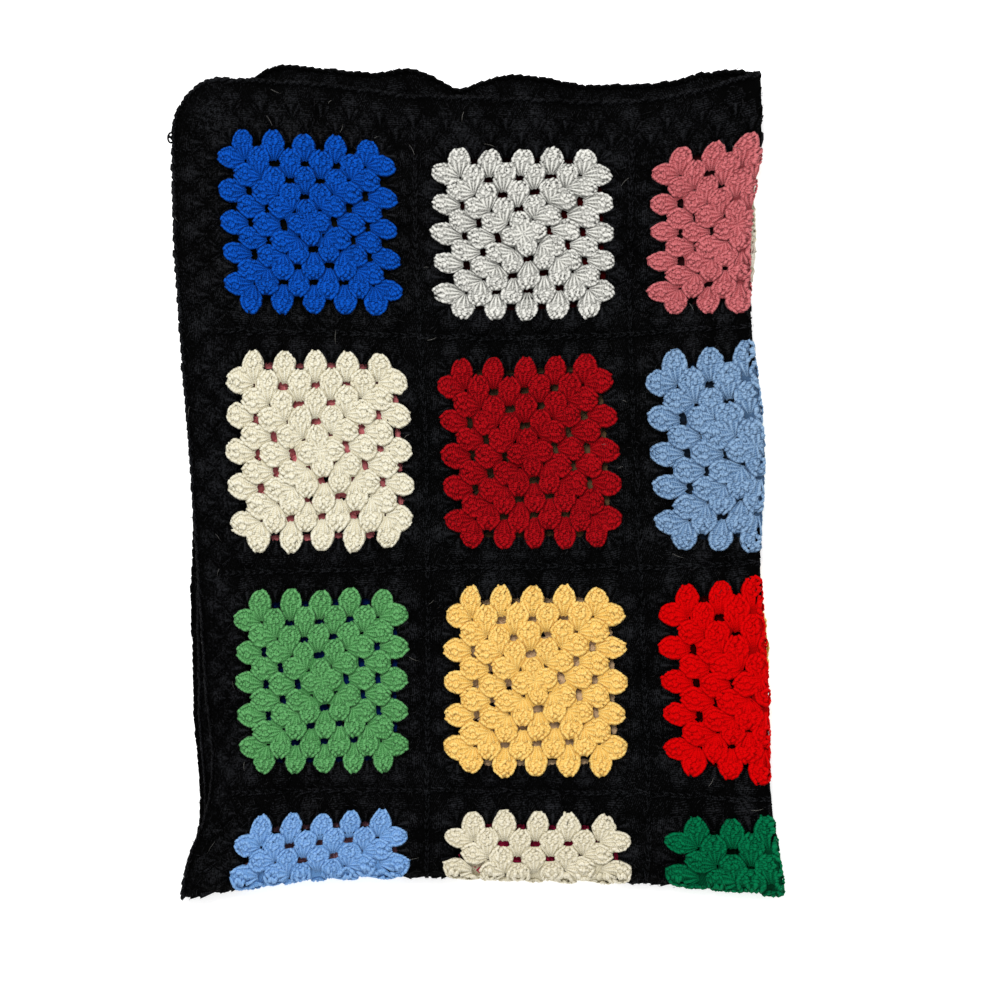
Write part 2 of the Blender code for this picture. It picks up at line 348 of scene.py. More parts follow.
# x of: open left edge, the tip lines of columns 1, 2 and 3, right fold
X_OF_LINES: Table = (
    (-226, -197, -63, -35, 101, 134, 217.5),         # top edge
    (-230, -195, -61, -33, 102, 133, 218.5),         # tips of row 1
    (-230, -192, -59, -32.5, 103, 130, 210),         # middle of row 1
    (-225, -188, -55, -30, 105, 128.5, 210.5),       # join of rows 1 and 2
    (-217.5, -188, -49.5, -26, 109, 132, 220),       # middle of row 2
    (-211.5, -183.5, -49, -23.5, 112, 137.5, 217),   # join of rows 2 and 3
    (-206, -181.5, -50, -23, 114, 140.5, 223),       # middle of row 3
    (-202.5, -180, -50, -24.5, 116, 144, 225.5),     # join of rows 3 and 4
    (-219, -184.5, -49, -25.4, 117, 142.4, 232),     # quarter of row 4
    (-225.5, -187, -48.5, -26, 117.5, 141.5, 236),   # bottom fold
)
QUARTER_STATION = 45 * MM           # from the join of rows 3 and 4
# y of: open top edge, the tip lines of rows 1 to 4, bottom fold
Y_OF_LINES: Table = (
    (306, 268.5, 131, 98.5, -54, -84.5, -220.5, -254.5, -318),      # left edge
    (303.5, 263, 127.5, 98.5, -53.5, -81, -220, -247.5, -303),      # column 1
    (294, 254, 124.5, 95, -50.5, -80, -220, -247, -301),            # join 1 and 2
    (291, 253, 122, 94.5, -50.5, -78.5, -222, -248.5, -304),        # column 2
    (289.5, 251.5, 125.5, 98, -50.5, -80, -221.5, -251, -306),      # join 2 and 3
    (311, 263, 130.5, 106.5, -49, -74, -227.5, -254.5, -316),       # right fold
)
# How far layer 2 reaches past layer 1 at the open top edge: x, reach, in mm
TOP_REACH: Table = (
    (-230, -8), (-175, -1), (-152, 10.5), (-125, 12), (-100, 12), (-75, 14),
    (-50, 19.5), (-27, 12), (-14, 6), (2, 11), (20, 17), (41, 17.5), (86, 12.5),
    (110, 13), (132, 11.5), (155, 10.5), (170, 14), (190, 22), (203, 40), (216, 75),
)
# How far layers 3 and 4 reach past layer 1 on the left and at the right fold:
# y, left, right, in mm
SIDE_REACH: Table = (
    (310, -5, -3), (250, -3, -2), (215, -2, 1), (185, -2, 5), (160, -2, 4),
    (135, -2, -1), (25, -1, -3), (-50, 4, -1), (-95, 8, 0), (-112, 9, 3.5),
    (-124, 9, 3), (-150, 10, 0), (-205, 13, -3), (-240, 8, -3), (-272, 1, -2),
    (-315, 0, 0),
)


@dataclass(frozen=True)
class Pull:
    """How a square's rounds are pulled off their even places, in mm."""

    swirl: float = 2.3              # how far its middle rounds turn leftwards
    shift: Pair = (0.0, 0.0)
    stretch: Pair = (0.015, 0.015)  # shares of the size


# The squares of the top layer, row by row
PULLS: tuple[tuple[Pull, ...], ...] = (
    (Pull(2.4, (-0.7, 0.0), (0.036, 0.036)), Pull(3.5, (0.7, -0.2), (0.039, 0.022)),
     Pull(3.5, (-3.0, -1.2), (-0.045, 0.025))),
    (Pull(3.0, (0.3, 0.6), (0.049, 0.029)), Pull(2.9, (-0.8, -0.3), (0.01, 0.028)),
     Pull(3.0, (1.6, -2.1), (0.06, 0.03))),
    (Pull(2.3, (-0.8, -0.6), (0.011, 0.026)), Pull(2.5, (-1.0, -1.1), (0.032, 0.035)),
     Pull(3.0, (1.6, 0.2), (0.05, 0.03))),
    (Pull(2.8, (-0.3, -5.0), (0.0, 0.04)), Pull(2.8, (1.0, -5.5), (0.02, 0.05)),
     Pull(2.8, (2.0, -4.5), (0.04, 0.05))),
)
# How much of its swirl a ring of a square has: its half size in mm, share
SWIRL_SHARES = ((0, 0.0), (16, 1.0), (36, 0.9), (47, 0.65), (56, 0.4), (66, 0.15), (80, 0.0))
PULL_RINGS = (62.0, 80.0)           # full inside the first, none past the second
RING_POWER = 6                      # how square the rings are
LEAST_RING = 0.001


def ramp(value: np.ndarray) -> np.ndarray:
    """Go smoothly from 0 to 1 as value does."""
    t = np.clip(value, 0.0, 1.0)
    return t * t * (3 - 2 * t)


def pulled(u: np.ndarray, v: np.ndarray) -> tuple[np.ndarray, np.ndarray]:
    """Pull flat places off their even grid, as uneven stitches do.

    Args:
        u: places across the flat fabric.
        v: places down it.

    Returns:
        The pulled u and v.
    """
    table = np.array([[[p.swirl, *p.shift, *p.stretch]
                       for p in (PULLS[r][c] if r < len(PULLS) and c < len(PULLS[0])
                                 else Pull() for c in range(SHEET.columns))]
                      for r in range(SHEET.rows)])
    column = np.clip(((u - SHEET.border) // SHEET.square).astype(int), 0, SHEET.columns - 1)
    row = np.clip(((v - SHEET.border) // SHEET.square).astype(int), 0, SHEET.rows - 1)
    swirl, *shift, stretch_x, stretch_y = table[row, column].T
    x = (u - SHEET.border - (column + 0.5) * SHEET.square) / MM
    y = (SHEET.border + (row + 0.5) * SHEET.square - v) / MM
    ring = (np.abs(x) ** RING_POWER + np.abs(y) ** RING_POWER) ** (1 / RING_POWER) + LEAST_RING
    inner, outer = PULL_RINGS
    share = ramp((outer - ring) / (outer - inner))
    turn = swirl * np.interp(ring, *zip(*SWIRL_SHARES)) / ring
    move_x = share * (shift[0] + stretch_x * x) - turn * y
    move_y = share * (shift[1] + stretch_y * y) + turn * x
    return u + move_x * MM, v - move_y * MM


def table_value(along: np.ndarray, stations: Iterable[float], across: np.ndarray,
                lines: Iterable[float], table: Any) -> np.ndarray:
    """Read a table of stations by lines: smooth along, straight across.

    Args:
        along: where each point is among the stations.
        stations: the places of the table's rows.
        across: where each point is among the lines.
        lines: the places of the table's columns.
        table: the values.

    Returns:
        A value for each point.
    """
    stations = np.asarray(stations)
    values = np.asarray(table, dtype=float)
    slopes = np.gradient(values, stations, axis=0)
    i = np.clip(np.searchsorted(stations, along) - 1, 0, len(stations) - 2)
    span = stations[i + 1] - stations[i]
    t = np.clip((along - stations[i]) / span, 0.0, 1.0)[:, None]
    span = span[:, None]
    rows = ((1 + 2 * t) * (1 - t) ** 2 * values[i] + t * (1 - t) ** 2 * span * slopes[i]
            + t ** 2 * (3 - 2 * t) * values[i + 1] + t ** 2 * (t - 1) * span * slopes[i + 1])
    lines = np.asarray(lines)
    j = np.clip(np.searchsorted(lines, across) - 1, 0, len(lines) - 2)
    share = (across - lines[j]) / (lines[j + 1] - lines[j])
    pick = np.arange(len(along))
    return rows[pick, j] * (1 - share) + rows[pick, j + 1] * share


def reach(table: Table, at: np.ndarray, column: int) -> np.ndarray:
    """Read one column of a reach table, smoothly between its rows.

    Args:
        table: the table, in mm; its first column is the places of its rows.
        at: where each point is among them, in metres.
        column: the column to read.

    Returns:
        A reach for each point, in metres.
    """
    rows = np.asarray(table, dtype=float)
    order = np.argsort(rows[:, 0])
    places = rows[order, 0] * MM
    values = np.column_stack([rows[order, column]] * 2)
    kept = np.clip(at, places[0], places[-1])
    return table_value(kept, places, np.zeros_like(at), [0.0, 1.0], values) * MM


class Layer(Enum):
    """The four layers of the folded stack, from the top."""

    TOP = 1         # front up
    SECOND = 2      # front down
    THIRD = 3       # front up
    BOTTOM = 4      # front down, on the table


@dataclass(frozen=True)
class QuarterFold:
    """The two folds, and how the four layers lie in the stack."""

    thickness: float = 4.2 * MM
    pitch: float = 5.7 * MM          # from the middle of one layer to the next
    right: float = SHEET.border + 2.5 * SHEET.square + 8.0 * MM
    bottom: float = SHEET.border + 3.5 * SHEET.square - 9.5 * MM
    back_stretch: float = 1.02
    under_stretch: float = 0.955
    under_ramp: float = 60 * MM
    top_ramp: float = 120 * MM
    side_ramp: float = 150 * MM
    hill_height: float = 2.4 * MM
    hill_lengths: Pair = (265 * MM, 330 * MM)
    hill_phases: Pair = (0.7, -0.4)
    hill_base: float = 0.5 * MM      # above the bottom layer
    least_height: float = 0.05 * MM  # above the table
    middle_shift: Pair = (-0.8 * MM, -0.5 * MM)
    fold_press: float = 0.35         # how much the right fold flattens them
    press_width: float = 9 * MM
    least_lift: float = 2.05 * MM    # the most a stitch stands on the underside
    stitch_height: float = 3.7 * MM  # the most that one stands on the top

    @property
    def half_bend(self) -> Pair:
        """Return the half lengths of the two bends, right and bottom."""
        return math.pi / 4 * self.pitch, math.pi / 2 * self.pitch

    @property
    def axis(self) -> float:
        """Return the height of the middle of the stack."""
        return 1.5 * self.pitch + self.thickness / 2

    @property
    def right_edge(self) -> float:
        """Return how far across the stack its right fold reaches."""
        return self.right - self.half_bend[0] + self.pitch / 2 + self.thickness / 2

    @property
    def bottom_edge(self) -> float:
        """Return how far down the stack its bottom fold reaches."""
        return self.bottom - self.half_bend[1] + 1.5 * self.pitch + self.thickness / 2

    def layer(self, u: float, v: float) -> Layer:
        """Tell which layer a flat place comes to lie in.

        Args:
            u: the place across the flat fabric.
            v: the place down it.

        Returns:
            The layer.
        """
        if u <= self.right:
            return Layer.TOP if v <= self.bottom else Layer.BOTTOM
        return Layer.SECOND if v <= self.bottom else Layer.THIRD

    @staticmethod
    def bent(before: np.ndarray, lift: np.ndarray, radius: float, half_bend: float,
             stretch: float) -> tuple[np.ndarray, np.ndarray]:
        """Turn points half round one fold.

        Args:
            before: flat distances before the fold.
            lift: heights above the layer that turns.
            radius: the fold's radius.
            half_bend: half the length of its bend.
            stretch: how much longer the fabric past it lies.

        Returns:
            How far past the start of the bend each point lies, and its height
            above the fold's axis.
        """
        turn = np.clip(before / radius, -math.pi / 2, math.pi / 2)
        flat = np.abs(before) - half_bend
        run = np.where(flat > 0, -flat * np.where(before < 0, stretch, 1.0),
                       (radius + lift) * np.cos(turn))
        return run, (radius + lift) * np.sin(turn)

    def carry(self, u: np.ndarray, v: np.ndarray, lift: np.ndarray) -> np.ndarray:
        """Carry points of the flat fabric round both folds.

        Args:
            u: places across the flat fabric.
            v: places down it.
            lift: heights above its middle, on its front.

        Returns:
            An array of x, y and z.
        """
        u, v = pulled(u, v)
        right_bend, bottom_bend = self.half_bend
        pressed = ramp((v - self.bottom) / bottom_bend) * (u < self.right)
        lift = lift * (1 - pressed * (1 - self.least_lift / self.stitch_height))
        lift = lift * (1 - self.fold_press
                       * np.exp(-((u - self.right) / self.press_width) ** 2))
        # the first fold, at the right, joins layers 1 and 2
        run, rise = self.bent(self.right - u, lift, self.pitch / 2, right_bend,
                              self.back_stretch)
        across = self.right - right_bend + run
        # the second fold, at the bottom, takes both over 3 and 4
        run, rise = self.bent(self.bottom - v, rise, self.pitch, bottom_bend,
                              self.under_stretch)
        down = self.bottom - bottom_bend + run
        return self.settle(across, down, self.axis + rise, self.right - u, self.bottom - v)

    def settle(self, across: np.ndarray, down: np.ndarray, z: np.ndarray,
               from_right: np.ndarray, from_bottom: np.ndarray) -> np.ndarray:
        """Lay folded points where they lie in the uneven stack.

        Args:
            across: places across the folded stack.
            down: places down it.
            z: heights in it.
            from_right: flat distances before the first fold.
            from_bottom: flat distances before the second fold.

        Returns:
            An array of x, y and z.
        """
        joins = [SHEET.border + i * SHEET.square for i in range(4)]
        middles = [j + SHEET.square / 2 for j in joins]
        x_stations = [0.0, SHEET.border + TIP_INSET, middles[0], joins[1], middles[1],
                      joins[2], middles[2], joins[3], joins[3] + QUARTER_STATION,
                      self.bottom_edge]
        y_stations = [0.0, middles[0], joins[1], middles[1], joins[2], self.right_edge]
        across_lines = [0.0] + tip_lines(3)[:5] + [self.right_edge]
        down_lines = [0.0] + tip_lines(4)[:7] + [self.bottom_edge]
        x = table_value(down, x_stations, across, across_lines, X_OF_LINES) * MM
        y = table_value(across, y_stations, down, down_lines, Y_OF_LINES) * MM
        # the lower layers lie a little off from the top one
        is_back = ramp(-from_right / self.under_ramp)
        is_under = ramp(-from_bottom / self.under_ramp)
        near_top = ramp(1 - down / self.top_ramp)
        y = y + reach(TOP_REACH, x, 1) * is_back * (1 - is_under) * near_top
        near_left = ramp(1 - across / self.side_ramp)
        near_right = ramp(1 - (self.right_edge - across) / self.side_ramp)
        x = x - reach(SIDE_REACH, y, 1) * is_under * near_left
        x = x + reach(SIDE_REACH, y, 2) * is_under * near_right
        # soft hills under the upper layers
        base = self.thickness + self.hill_base
        share = np.clip((z - base) / (2 * self.axis - base), 0.0, None)
        along_x, along_y = (2 * math.pi * places / length + phase for places, length, phase
                            in zip((x, y), self.hill_lengths, self.hill_phases))
        hills = (1 + np.sin(along_x) * np.cos(along_y)) / 2
        z = np.maximum(z + self.hill_height * hills * share, self.least_height)
        return np.column_stack([x + self.middle_shift[0], y + self.middle_shift[1], z])


FOLD = QuarterFold()


# --------------------------------------------------------- strands and stitches

class Detail(Enum):
    """How finely a cluster of stitches is drawn: sides and rings of yarn."""

    FULL = (5, 3)       # in plain sight on the top
    MIDDLE = (4, 2)     # black on the top, and the underside
    PLAIN = (3, 2)      # seen only through the gaps


@dataclass
class Shape:
    """Points, triangles and strand places of one or many runs of yarn."""

    points: np.ndarray      # number of points by 3
    faces: np.ndarray       # number of faces by 3
    strand: np.ndarray      # number of faces by 3 by 2: along, mm, and round
    painted_light: np.ndarray         # painted light of each point: 0 shaded deep in the fabric to 1 lit on top

    @staticmethod
    def joined(shapes: list["Shape"]) -> "Shape":
        """Join several shapes into one.

        Args:
            shapes: the shapes, at least one.

        Returns:
            One shape with all their points and faces.
        """
        starts = np.cumsum([0] + [len(s.points) for s in shapes[:-1]])
        return Shape(np.concatenate([s.points for s in shapes]),
                     np.concatenate([s.faces + n for s, n in zip(shapes, starts)]),
                     np.concatenate([s.strand for s in shapes]),
                     np.concatenate([s.painted_light for s in shapes]))


UPRIGHT = 0.05                       # the least slant that gives a run a side


def ring_place(centre: np.ndarray, way: np.ndarray, width: float, height: float) -> Matrix:
    """Return the matrix that lays a unit circle across a run of yarn.

    Args:
        centre: the ring's middle.
        way: the direction of the run.
        width: half the ring's width.
        height: half its height.

    Returns:
        The ring's place.
    """
    along = Vector(way).normalized()
    side = along.cross(Vector((0, 0, 1)))
    side = side.normalized() if side.length > UPRIGHT else Vector((1, 0, 0))
    up = side.cross(along)
    place = Matrix.Identity(4)
    for i, column in enumerate((side * width, up * height, along)):
        place.col[i][:3] = column
    place.col[3][:3] = centre
    return place


def tube(centres: np.ndarray, widths: np.ndarray, heights: np.ndarray, sides: int) -> Shape:
    """Sweep a closed tube of oval section.

    Args:
        centres: the middle of each ring of points, in mm.
        widths: half the width of each ring.
        heights: half its height.
        sides: the number of faces round it.

    Returns:
        The tube, in millimetres.
    """
    ways = np.gradient(centres, axis=0)
    lengths = np.linalg.norm(np.diff(centres, axis=0), axis=1)
    along = np.concatenate([[0.0], np.cumsum(lengths)])
    bm = bmesh.new()
    ring = bmesh.ops.create_circle(bm, cap_ends=True, segments=sides, radius=1.0)["verts"]
    at = {vert: (0, i) for i, vert in enumerate(ring)}
    edges = list(bm.edges)
    before = Matrix.Identity(4)
    for k, centre in enumerate(centres):
        if k:
            grown = bmesh.ops.extrude_edge_only(bm, edges=edges)["geom"]
            ring = [g for g in grown if isinstance(g, bmesh.types.BMVert)]
            edges = [g for g in grown if isinstance(g, bmesh.types.BMEdge) and g.is_boundary]
            for vert in ring:
                old = next(e.other_vert(vert) for e in vert.link_edges
                           if at.get(e.other_vert(vert), (k,))[0] == k - 1)
                at[vert] = (k, at[old][1])
        here = ring_place(centre, ways[k], widths[k], heights[k])
        bmesh.ops.transform(bm, matrix=here @ before.inverted(), verts=ring)
        before = here
    bmesh.ops.contextual_create(bm, geom=edges)
    bmesh.ops.recalc_face_normals(bm, faces=list(bm.faces))
    bmesh.ops.triangulate(bm, faces=list(bm.faces))
    number = {vert: i for i, vert in enumerate(bm.verts)}
    points = np.array([tuple(v.co) for v in number])
    faces, strand = [], []
    for face in bm.faces:
        places = [at[v] for v in face.verts]
        faces.append([number[v] for v in face.verts])
        seam = {p[1] for p in places} >= {0, sides - 1}
        cap = len({p[0] for p in places}) == 1
        strand.append([(along[r], 0.5 if cap else (sides if seam and s == 0 else s) / sides)
                       for r, s in places])
    bm.free()
    # painted shade: points that lie lower in the fabric are darker
    return Shape(points, np.array(faces), np.array(strand), ramp(points[:, 2] / FULL_LIGHT_HEIGHT))


@dataclass(frozen=True)
class Strand:
    """One visible run of yarn: points of its middle and its radii, in mm."""

    middle: tuple[Point, ...]
    radii: tuple[float, ...]

    def sweep(self, sides: int, rings: int) -> Shape:
        """Draw the run as a closed round tube.

        Args:
            sides: the number of faces round it.
            rings: the number of rings of points along it.

        Returns:
            The tube, in millimetres.
        """
        order = len(self.middle) - 1
        line = np.polyfit(np.linspace(0, 1, order + 1), np.array(self.middle), order)
        steps = np.linspace(0, 1, rings)
        radii = np.interp(steps, np.linspace(0, 1, len(self.radii)), self.radii)
        return tube(np.polyval(line, steps[:, None]), radii, radii, sides)


def strand_pair(lines: Iterable[tuple[Point, ...]], radius: float, end: float,
                scatter: Pair, rng: Chance) -> Shape:
    """Draw strands that are thickest at their middle.

    Args:
        lines: the points of each strand's middle.
        radius: their radius, in mm.
        end: how thick their ends are, next to that.
        scatter: the range of each one's thickness.
        rng: the source of chance.

    Returns:
        The strands as one shape.
    """
    thick = ((line, radius * rng.uniform(*scatter)) for line in lines)
    return Shape.joined([Strand(line, (end * r, r, end * r)).sweep(sides=4, rings=3)
                         for line, r in thick])


class Place(NamedTuple):
    """Where a stitch pattern is worked, on the flat fabric."""

    u: float
    v: float
    turn: float             # of its outward way, clockwise from the top
    side: int = 1           # 1 if its yarn shows on the front, -1 on the back
    length: float = 1.0     # how long it is drawn, next to its pattern
    breadth: float = 1.0    # and how broad


# How much painted shade darkens the second layer under each square's gaps, row
# by row, at the square's right side as it lies, and how much more at its left;
# the first two columns lie in the top layer alone
SHADES: Table = (
    (0.0, 0.0, 0.95, 0.6, 0.5),
    (0.0, 0.0, 0.95, 0.6, 0.0),
    (0.0, 0.0, 0.85, 0.0, 0.35),
    (0.0, 0.0, 0.95, 0.0, 0.15),
)
LEFT_SHADE = 0.5
MOST_SHADE = 0.95
HIDDEN_LIGHT = 1.6                    # painted light of yarn in no shade, lighter than usual
DIM_LIGHT = -0.8                      # painted shade of the third layer
SECOND_FROM = 10 * MM               # how far past the right fold painted shade begins
THIRD_FROM = 25 * MM                # and where the third layer gets painted shade


def seen_through(u: np.ndarray, v: np.ndarray) -> np.ndarray:
    """Return the painted light of the hidden layers' yarn, with painted shade where a gap may
    show it.

    Args:
        u: places across the flat fabric.
        v: places down it.

    Returns:
        Its painted light at each place.
    """
    across = (u - SHEET.border) / SHEET.square
    down = (v - SHEET.border) / SHEET.square
    table = np.array(SHADES)
    rows, columns = table.shape
    shade = table[np.clip(down.astype(int), 0, rows - 1),
                  np.clip(across.astype(int), 0, columns - 1)]
    # painted shade: towards the open left edge the layers lie closer, and are darker
    shaded = np.minimum(MOST_SHADE, shade + LEFT_SHADE * (across % 1))
    past, under = u - FOLD.right, v > FOLD.bottom
    second = ~under & (past > SECOND_FROM) & (shade > 0)
    third = under & (past > THIRD_FROM)
    return np.select([third, second], [DIM_LIGHT, -shaded], HIDDEN_LIGHT)


# How much one stitch differs from the next
TURN_SCATTER = 0.035                # radians
SIZE_SCATTER = 0.035                # a share of its size
SLIP_SCATTER = 0.35                 # mm
PLY_START = 40.0                    # where along its yarn it may start, mm


def work(shape: Shape, places: list[Place], rng: Chance,
         loose: float = 1.0, under: bool = False) -> Shape:
    """Work one stitch pattern at many flat places.

    Args:
        shape: the pattern, in mm: x to the side, y outwards and z its lift.
        places: the flat places.
        rng: the source of chance.
        loose: how much one differs from the next.
        under: whether they show only through the gaps of the layer above, and so get painted
            shade.

    Returns:
        All the worked stitches, in place on the folded blanket.
    """
    at = np.array(places, dtype=float)
    count = len(at)
    turn = at[:, 2] + rng.normal(0, TURN_SCATTER * loose, count)
    size = 1 + rng.normal(0, SIZE_SCATTER * loose, (count, 1, 3))
    size[:, 0, :2] *= at[:, 5:3:-1]
    local = shape.points[None] * size
    slip = rng.normal(0, SLIP_SCATTER * loose, (count, 2))
    side = at[:, 3][:, None]
    x = local[..., 0] * side + slip[:, 0][:, None]
    y = local[..., 1] + slip[:, 1][:, None]
    sin, cos = np.sin(turn)[:, None], np.cos(turn)[:, None]
    u = (at[:, 0][:, None] + (x * cos + y * sin) * MM).ravel()
    v = (at[:, 1][:, None] - (y * cos - x * sin) * MM).ravel()
    points = FOLD.carry(u, v, (local[..., 2] * side * MM).ravel())
    starts = np.arange(count)[:, None, None] * len(shape.points)
    strand = np.repeat(shape.strand[None], count, axis=0)
    strand[..., 0] += rng.uniform(0, PLY_START, (count, 1, 1))
    painted_light = seen_through(u, v) if under else np.tile(shape.painted_light, count)
    return Shape(points, (shape.faces[None] + starts).reshape(-1, 3),
                 strand.reshape(-1, 3, 2), painted_light)


def make_piece(name: str, shape: Shape, yarns: list[Yarn],
               slots: np.ndarray | None = None) -> Object:
    """Make a piece of the blanket from its worked yarn.

    Args:
        name: the piece's name.
        shape: its points and faces, in place.
        yarns: its yarns.
        slots: for each face, which yarn it has; the first if left out.

    Returns:
        The piece, riding on the blanket's body.
    """
    count = len(shape.faces)
    mesh = bpy.data.meshes.new(name)
    mesh.vertices.add(len(shape.points))
    mesh.vertices.foreach_set("co", shape.points.astype(np.float32).ravel())
    mesh.loops.add(3 * count)
    mesh.loops.foreach_set("vertex_index", shape.faces.astype(np.int32).ravel())
    mesh.polygons.add(count)
    mesh.polygons.foreach_set("loop_start", np.arange(0, 3 * count, 3, dtype=np.int32))
    mesh.update(calc_edges=True)
    mesh.uv_layers.new(name=STRAND_MAP).data.foreach_set(
        "uv", shape.strand.astype(np.float32).ravel())
    mesh.attributes.new(PAINTED_LIGHT, "FLOAT", "POINT").data.foreach_set(
        "value", shape.painted_light.astype(np.float32))
    mesh.polygons.foreach_set("use_smooth", np.ones(count, bool))
    for yarn in yarns:
        mesh.materials.append(yarn.material())
    if slots is not None:
        mesh.polygons.foreach_set("material_index", slots.astype(np.int32))
    mesh.validate()
    piece = bpy.data.objects.new(name, mesh)
    bpy.context.scene.collection.objects.link(piece)
    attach(piece, BODY)
    log.info("%s: %d triangles", name, count)
    return piece


# ------------------------------------------------------------------ the pieces

@dataclass(frozen=True)
class Fan:
    """A cluster: three treble stitches worked into one space, sizes in mm.

    It is a plump kite, drawn together at its foot and widest past its middle,
    so that it fills the room between the heads of the round before. Its lower
    half is the drawn-up strands of the stitches, and its upper half their
    wraps and top loops, packed close. x is to the side, y outwards from the
    space and z up.
    """

    length: float = 20.8
    outline: Table = (               # share of length, half width
        (-0.07, 1.6), (0.0, 3.2), (0.15, 5.6), (0.32, 8.0), (0.46, 9.3), (0.59, 9.6),
        (0.69, 9.2), (0.8, 8.0), (0.88, 6.6), (0.95, 5.0), (1.0, 3.7), (1.04, 2.4))
    heights: Table = (               # share of length, lift of its top
        (-0.07, 0.7), (0.0, 1.0), (0.15, 1.25), (0.32, 1.7), (0.46, 2.2), (0.6, 2.6),
        (0.82, 2.6), (0.95, 2.0), (1.0, 1.3))
    dome: float = 2.4                # how flat its top is across
    bow: float = 0.03                # how much lower a row's ends lie, shares
    body_sides: int = 7
    few_sides: int = 6               # of the body of a cluster drawn less finely
    body_shares: tuple[float, ...] = (-0.05, 0.3, 0.57, 0.74, 0.9, 0.99)
    middle_shares: tuple[float, ...] = (-0.05, 0.3, 0.62, 1.0)   # of a less fine one
    plain_shares: tuple[float, ...] = (0.0, 0.6, 1.0)            # of the plainest
    body_inset: Triple = (0.3, 0.2, 0.15)     # at its sides, its top and its foot
    strands: int = 5
    few_strands: int = 3             # of a cluster drawn less finely
    strand_radii: tuple[float, ...] = (0.5, 1.0, 1.25)
    strand_start: float = -0.07      # share of length
    strand_lifts: Triple = (-0.5, -0.4, -0.5)
    strand_reach: Pair = (0.36, 0.46)
    strand_range: Pair = (0.85, 1.15)        # of their thickness
    strand_spread: float = 0.82
    # painted light of the strands at the foot
    foot_light: float = 0.7
    foot_depth: float = 0.3          # painted shade of the lines between strands
    rim: float = 0.6                 # the share across where its sides begin
    rim_depth: float = 1.2           # how much painted shade darkens them
    loop_radius: float = 1.25
    loop_half: float = 2.1
    loop_radius_range: Pair = (0.85, 1.15)
    loop_half_range: Pair = (0.8, 1.3)
    loop_end: float = 0.8            # the radius of its ends
    loop_rise: float = 0.2
    loop_drop: float = 0.95          # how far its ends go down
    loop_shade: float = 0.2           # painted shade that makes it darker than the strands
    loop_light: Triple = (0.5, 1.5, 1.5)       # how deep its painted shade starts, over what height it fades, its painted light on top
    loop_spread: float = 1.02
    edge: float = 0.55               # loops past this follow the outline
    edge_reach: float = 0.85         # and lie no further out than this
    edge_step: float = 0.06          # share of length that gives its direction
    rows: tuple[tuple[float, int], ...] = (   # share of length, loops
        (0.4, 3), (0.51, 4), (0.62, 4), (0.73, 4), (0.83, 3), (0.92, 2))
    slant: float = 0.85              # of the loops, which lean in pairs, radians
    slant_scatter: float = 0.22
    scatter: Triple = (0.02, 0.03, 0.015)     # of strands, loops across, loops up
    light_scatter: Pair = (0.1, 0.15)          # random spread of painted light: of strands, of loops
    # short runs of yarn painted dark as the shade in the pits of the top loops
    pits: int = 2
    pit_across: float = 0.75
    pit_shares: Pair = (0.66, 0.94)
    pit_bow: float = 0.08
    pit_lift: float = 0.4
    pit_half: Pair = (0.4, 0.9)
    pit_radii: Pair = (0.4, 0.65)
    pit_shade: Pair = (0.15, 0.65)

    def half_width(self, share: float) -> float:
        """Return the half width at a share of the length."""
        return float(np.interp(share, *zip(*self.outline)))

    def point(self, across: float, share: float, lift: float) -> Point:
        """Return a point of the cluster.

        Args:
            across: from -1 on its left outline to 1 on its right.
            share: how far up it, from 0 at its foot to 1 at its head.
            lift: the point's lift.

        Returns:
            The point's x, y and z.
        """
        return (across * self.half_width(share),
                (share - self.bow * across ** 2) * self.length, lift)

    def crown(self, across: float, share: float) -> float:
        """Return the lift of the body's top at a place on it."""
        height = float(np.interp(share, *zip(*self.heights)))
        return height * math.sqrt(max(0.0, 1 - abs(across) ** self.dome))

    def rim_shade(self, across: float) -> float:
        """Return how much painted shade darkens the cluster towards its sides."""
        return self.rim_depth * max(0.0, abs(across) - self.rim)

    def body(self, sides: int, shares: tuple[float, ...]) -> Shape:
        """Draw the plump body inside the loops.

        Args:
            sides: the number of faces round it.
            shares: the shares of the length where its rings lie.

        Returns:
            The body.
        """
        side, top, foot = self.body_inset
        half = np.array([self.crown(0.0, share) / 2 - top for share in shares])
        middle = np.array([self.point(0.0, share, 0.0) for share in shares])
        middle[:, 2] = half
        widths = np.array([self.half_width(share) for share in shares]) - side
        return tube(middle, widths, half + foot, sides)

    def feet(self, count: int, sides: int, rings: int, rng: Chance) -> list[Shape]:
        """Draw the strands that fan out of the space.

        Args:
            count: the number of strands.
            sides: the number of faces round each.
            rings: the number of rings of points along each.
            rng: the source of chance.

        Returns:
            The strands.
        """
        runs = []
        for place in np.linspace(-self.strand_spread, self.strand_spread, count):
            across = place + rng.normal(0, self.scatter[0])
            top = rng.uniform(*self.strand_reach)
            shares = (self.strand_start, top / 2, top)
            middle = tuple(self.point(across, share, self.crown(across, share) + rise)
                           for share, rise in zip(shares, self.strand_lifts))
            thick = rng.uniform(*self.strand_range) * self.strands / count
            radii = tuple(r * thick for r in self.strand_radii)
            run = Strand(middle, radii).sweep(sides, rings)
            # painted shade: the lines between the strands, and the cluster's sides, are darker
            up = run.points[:, 2].reshape(-1, sides)
            up = (up - up.mean(axis=1, keepdims=True)).ravel()
            run.painted_light[:] = (self.foot_light + rng.normal(0, self.light_scatter[0])
                          + self.foot_depth * up / up.max() - self.rim_shade(across))
            runs.append(run)
        return runs

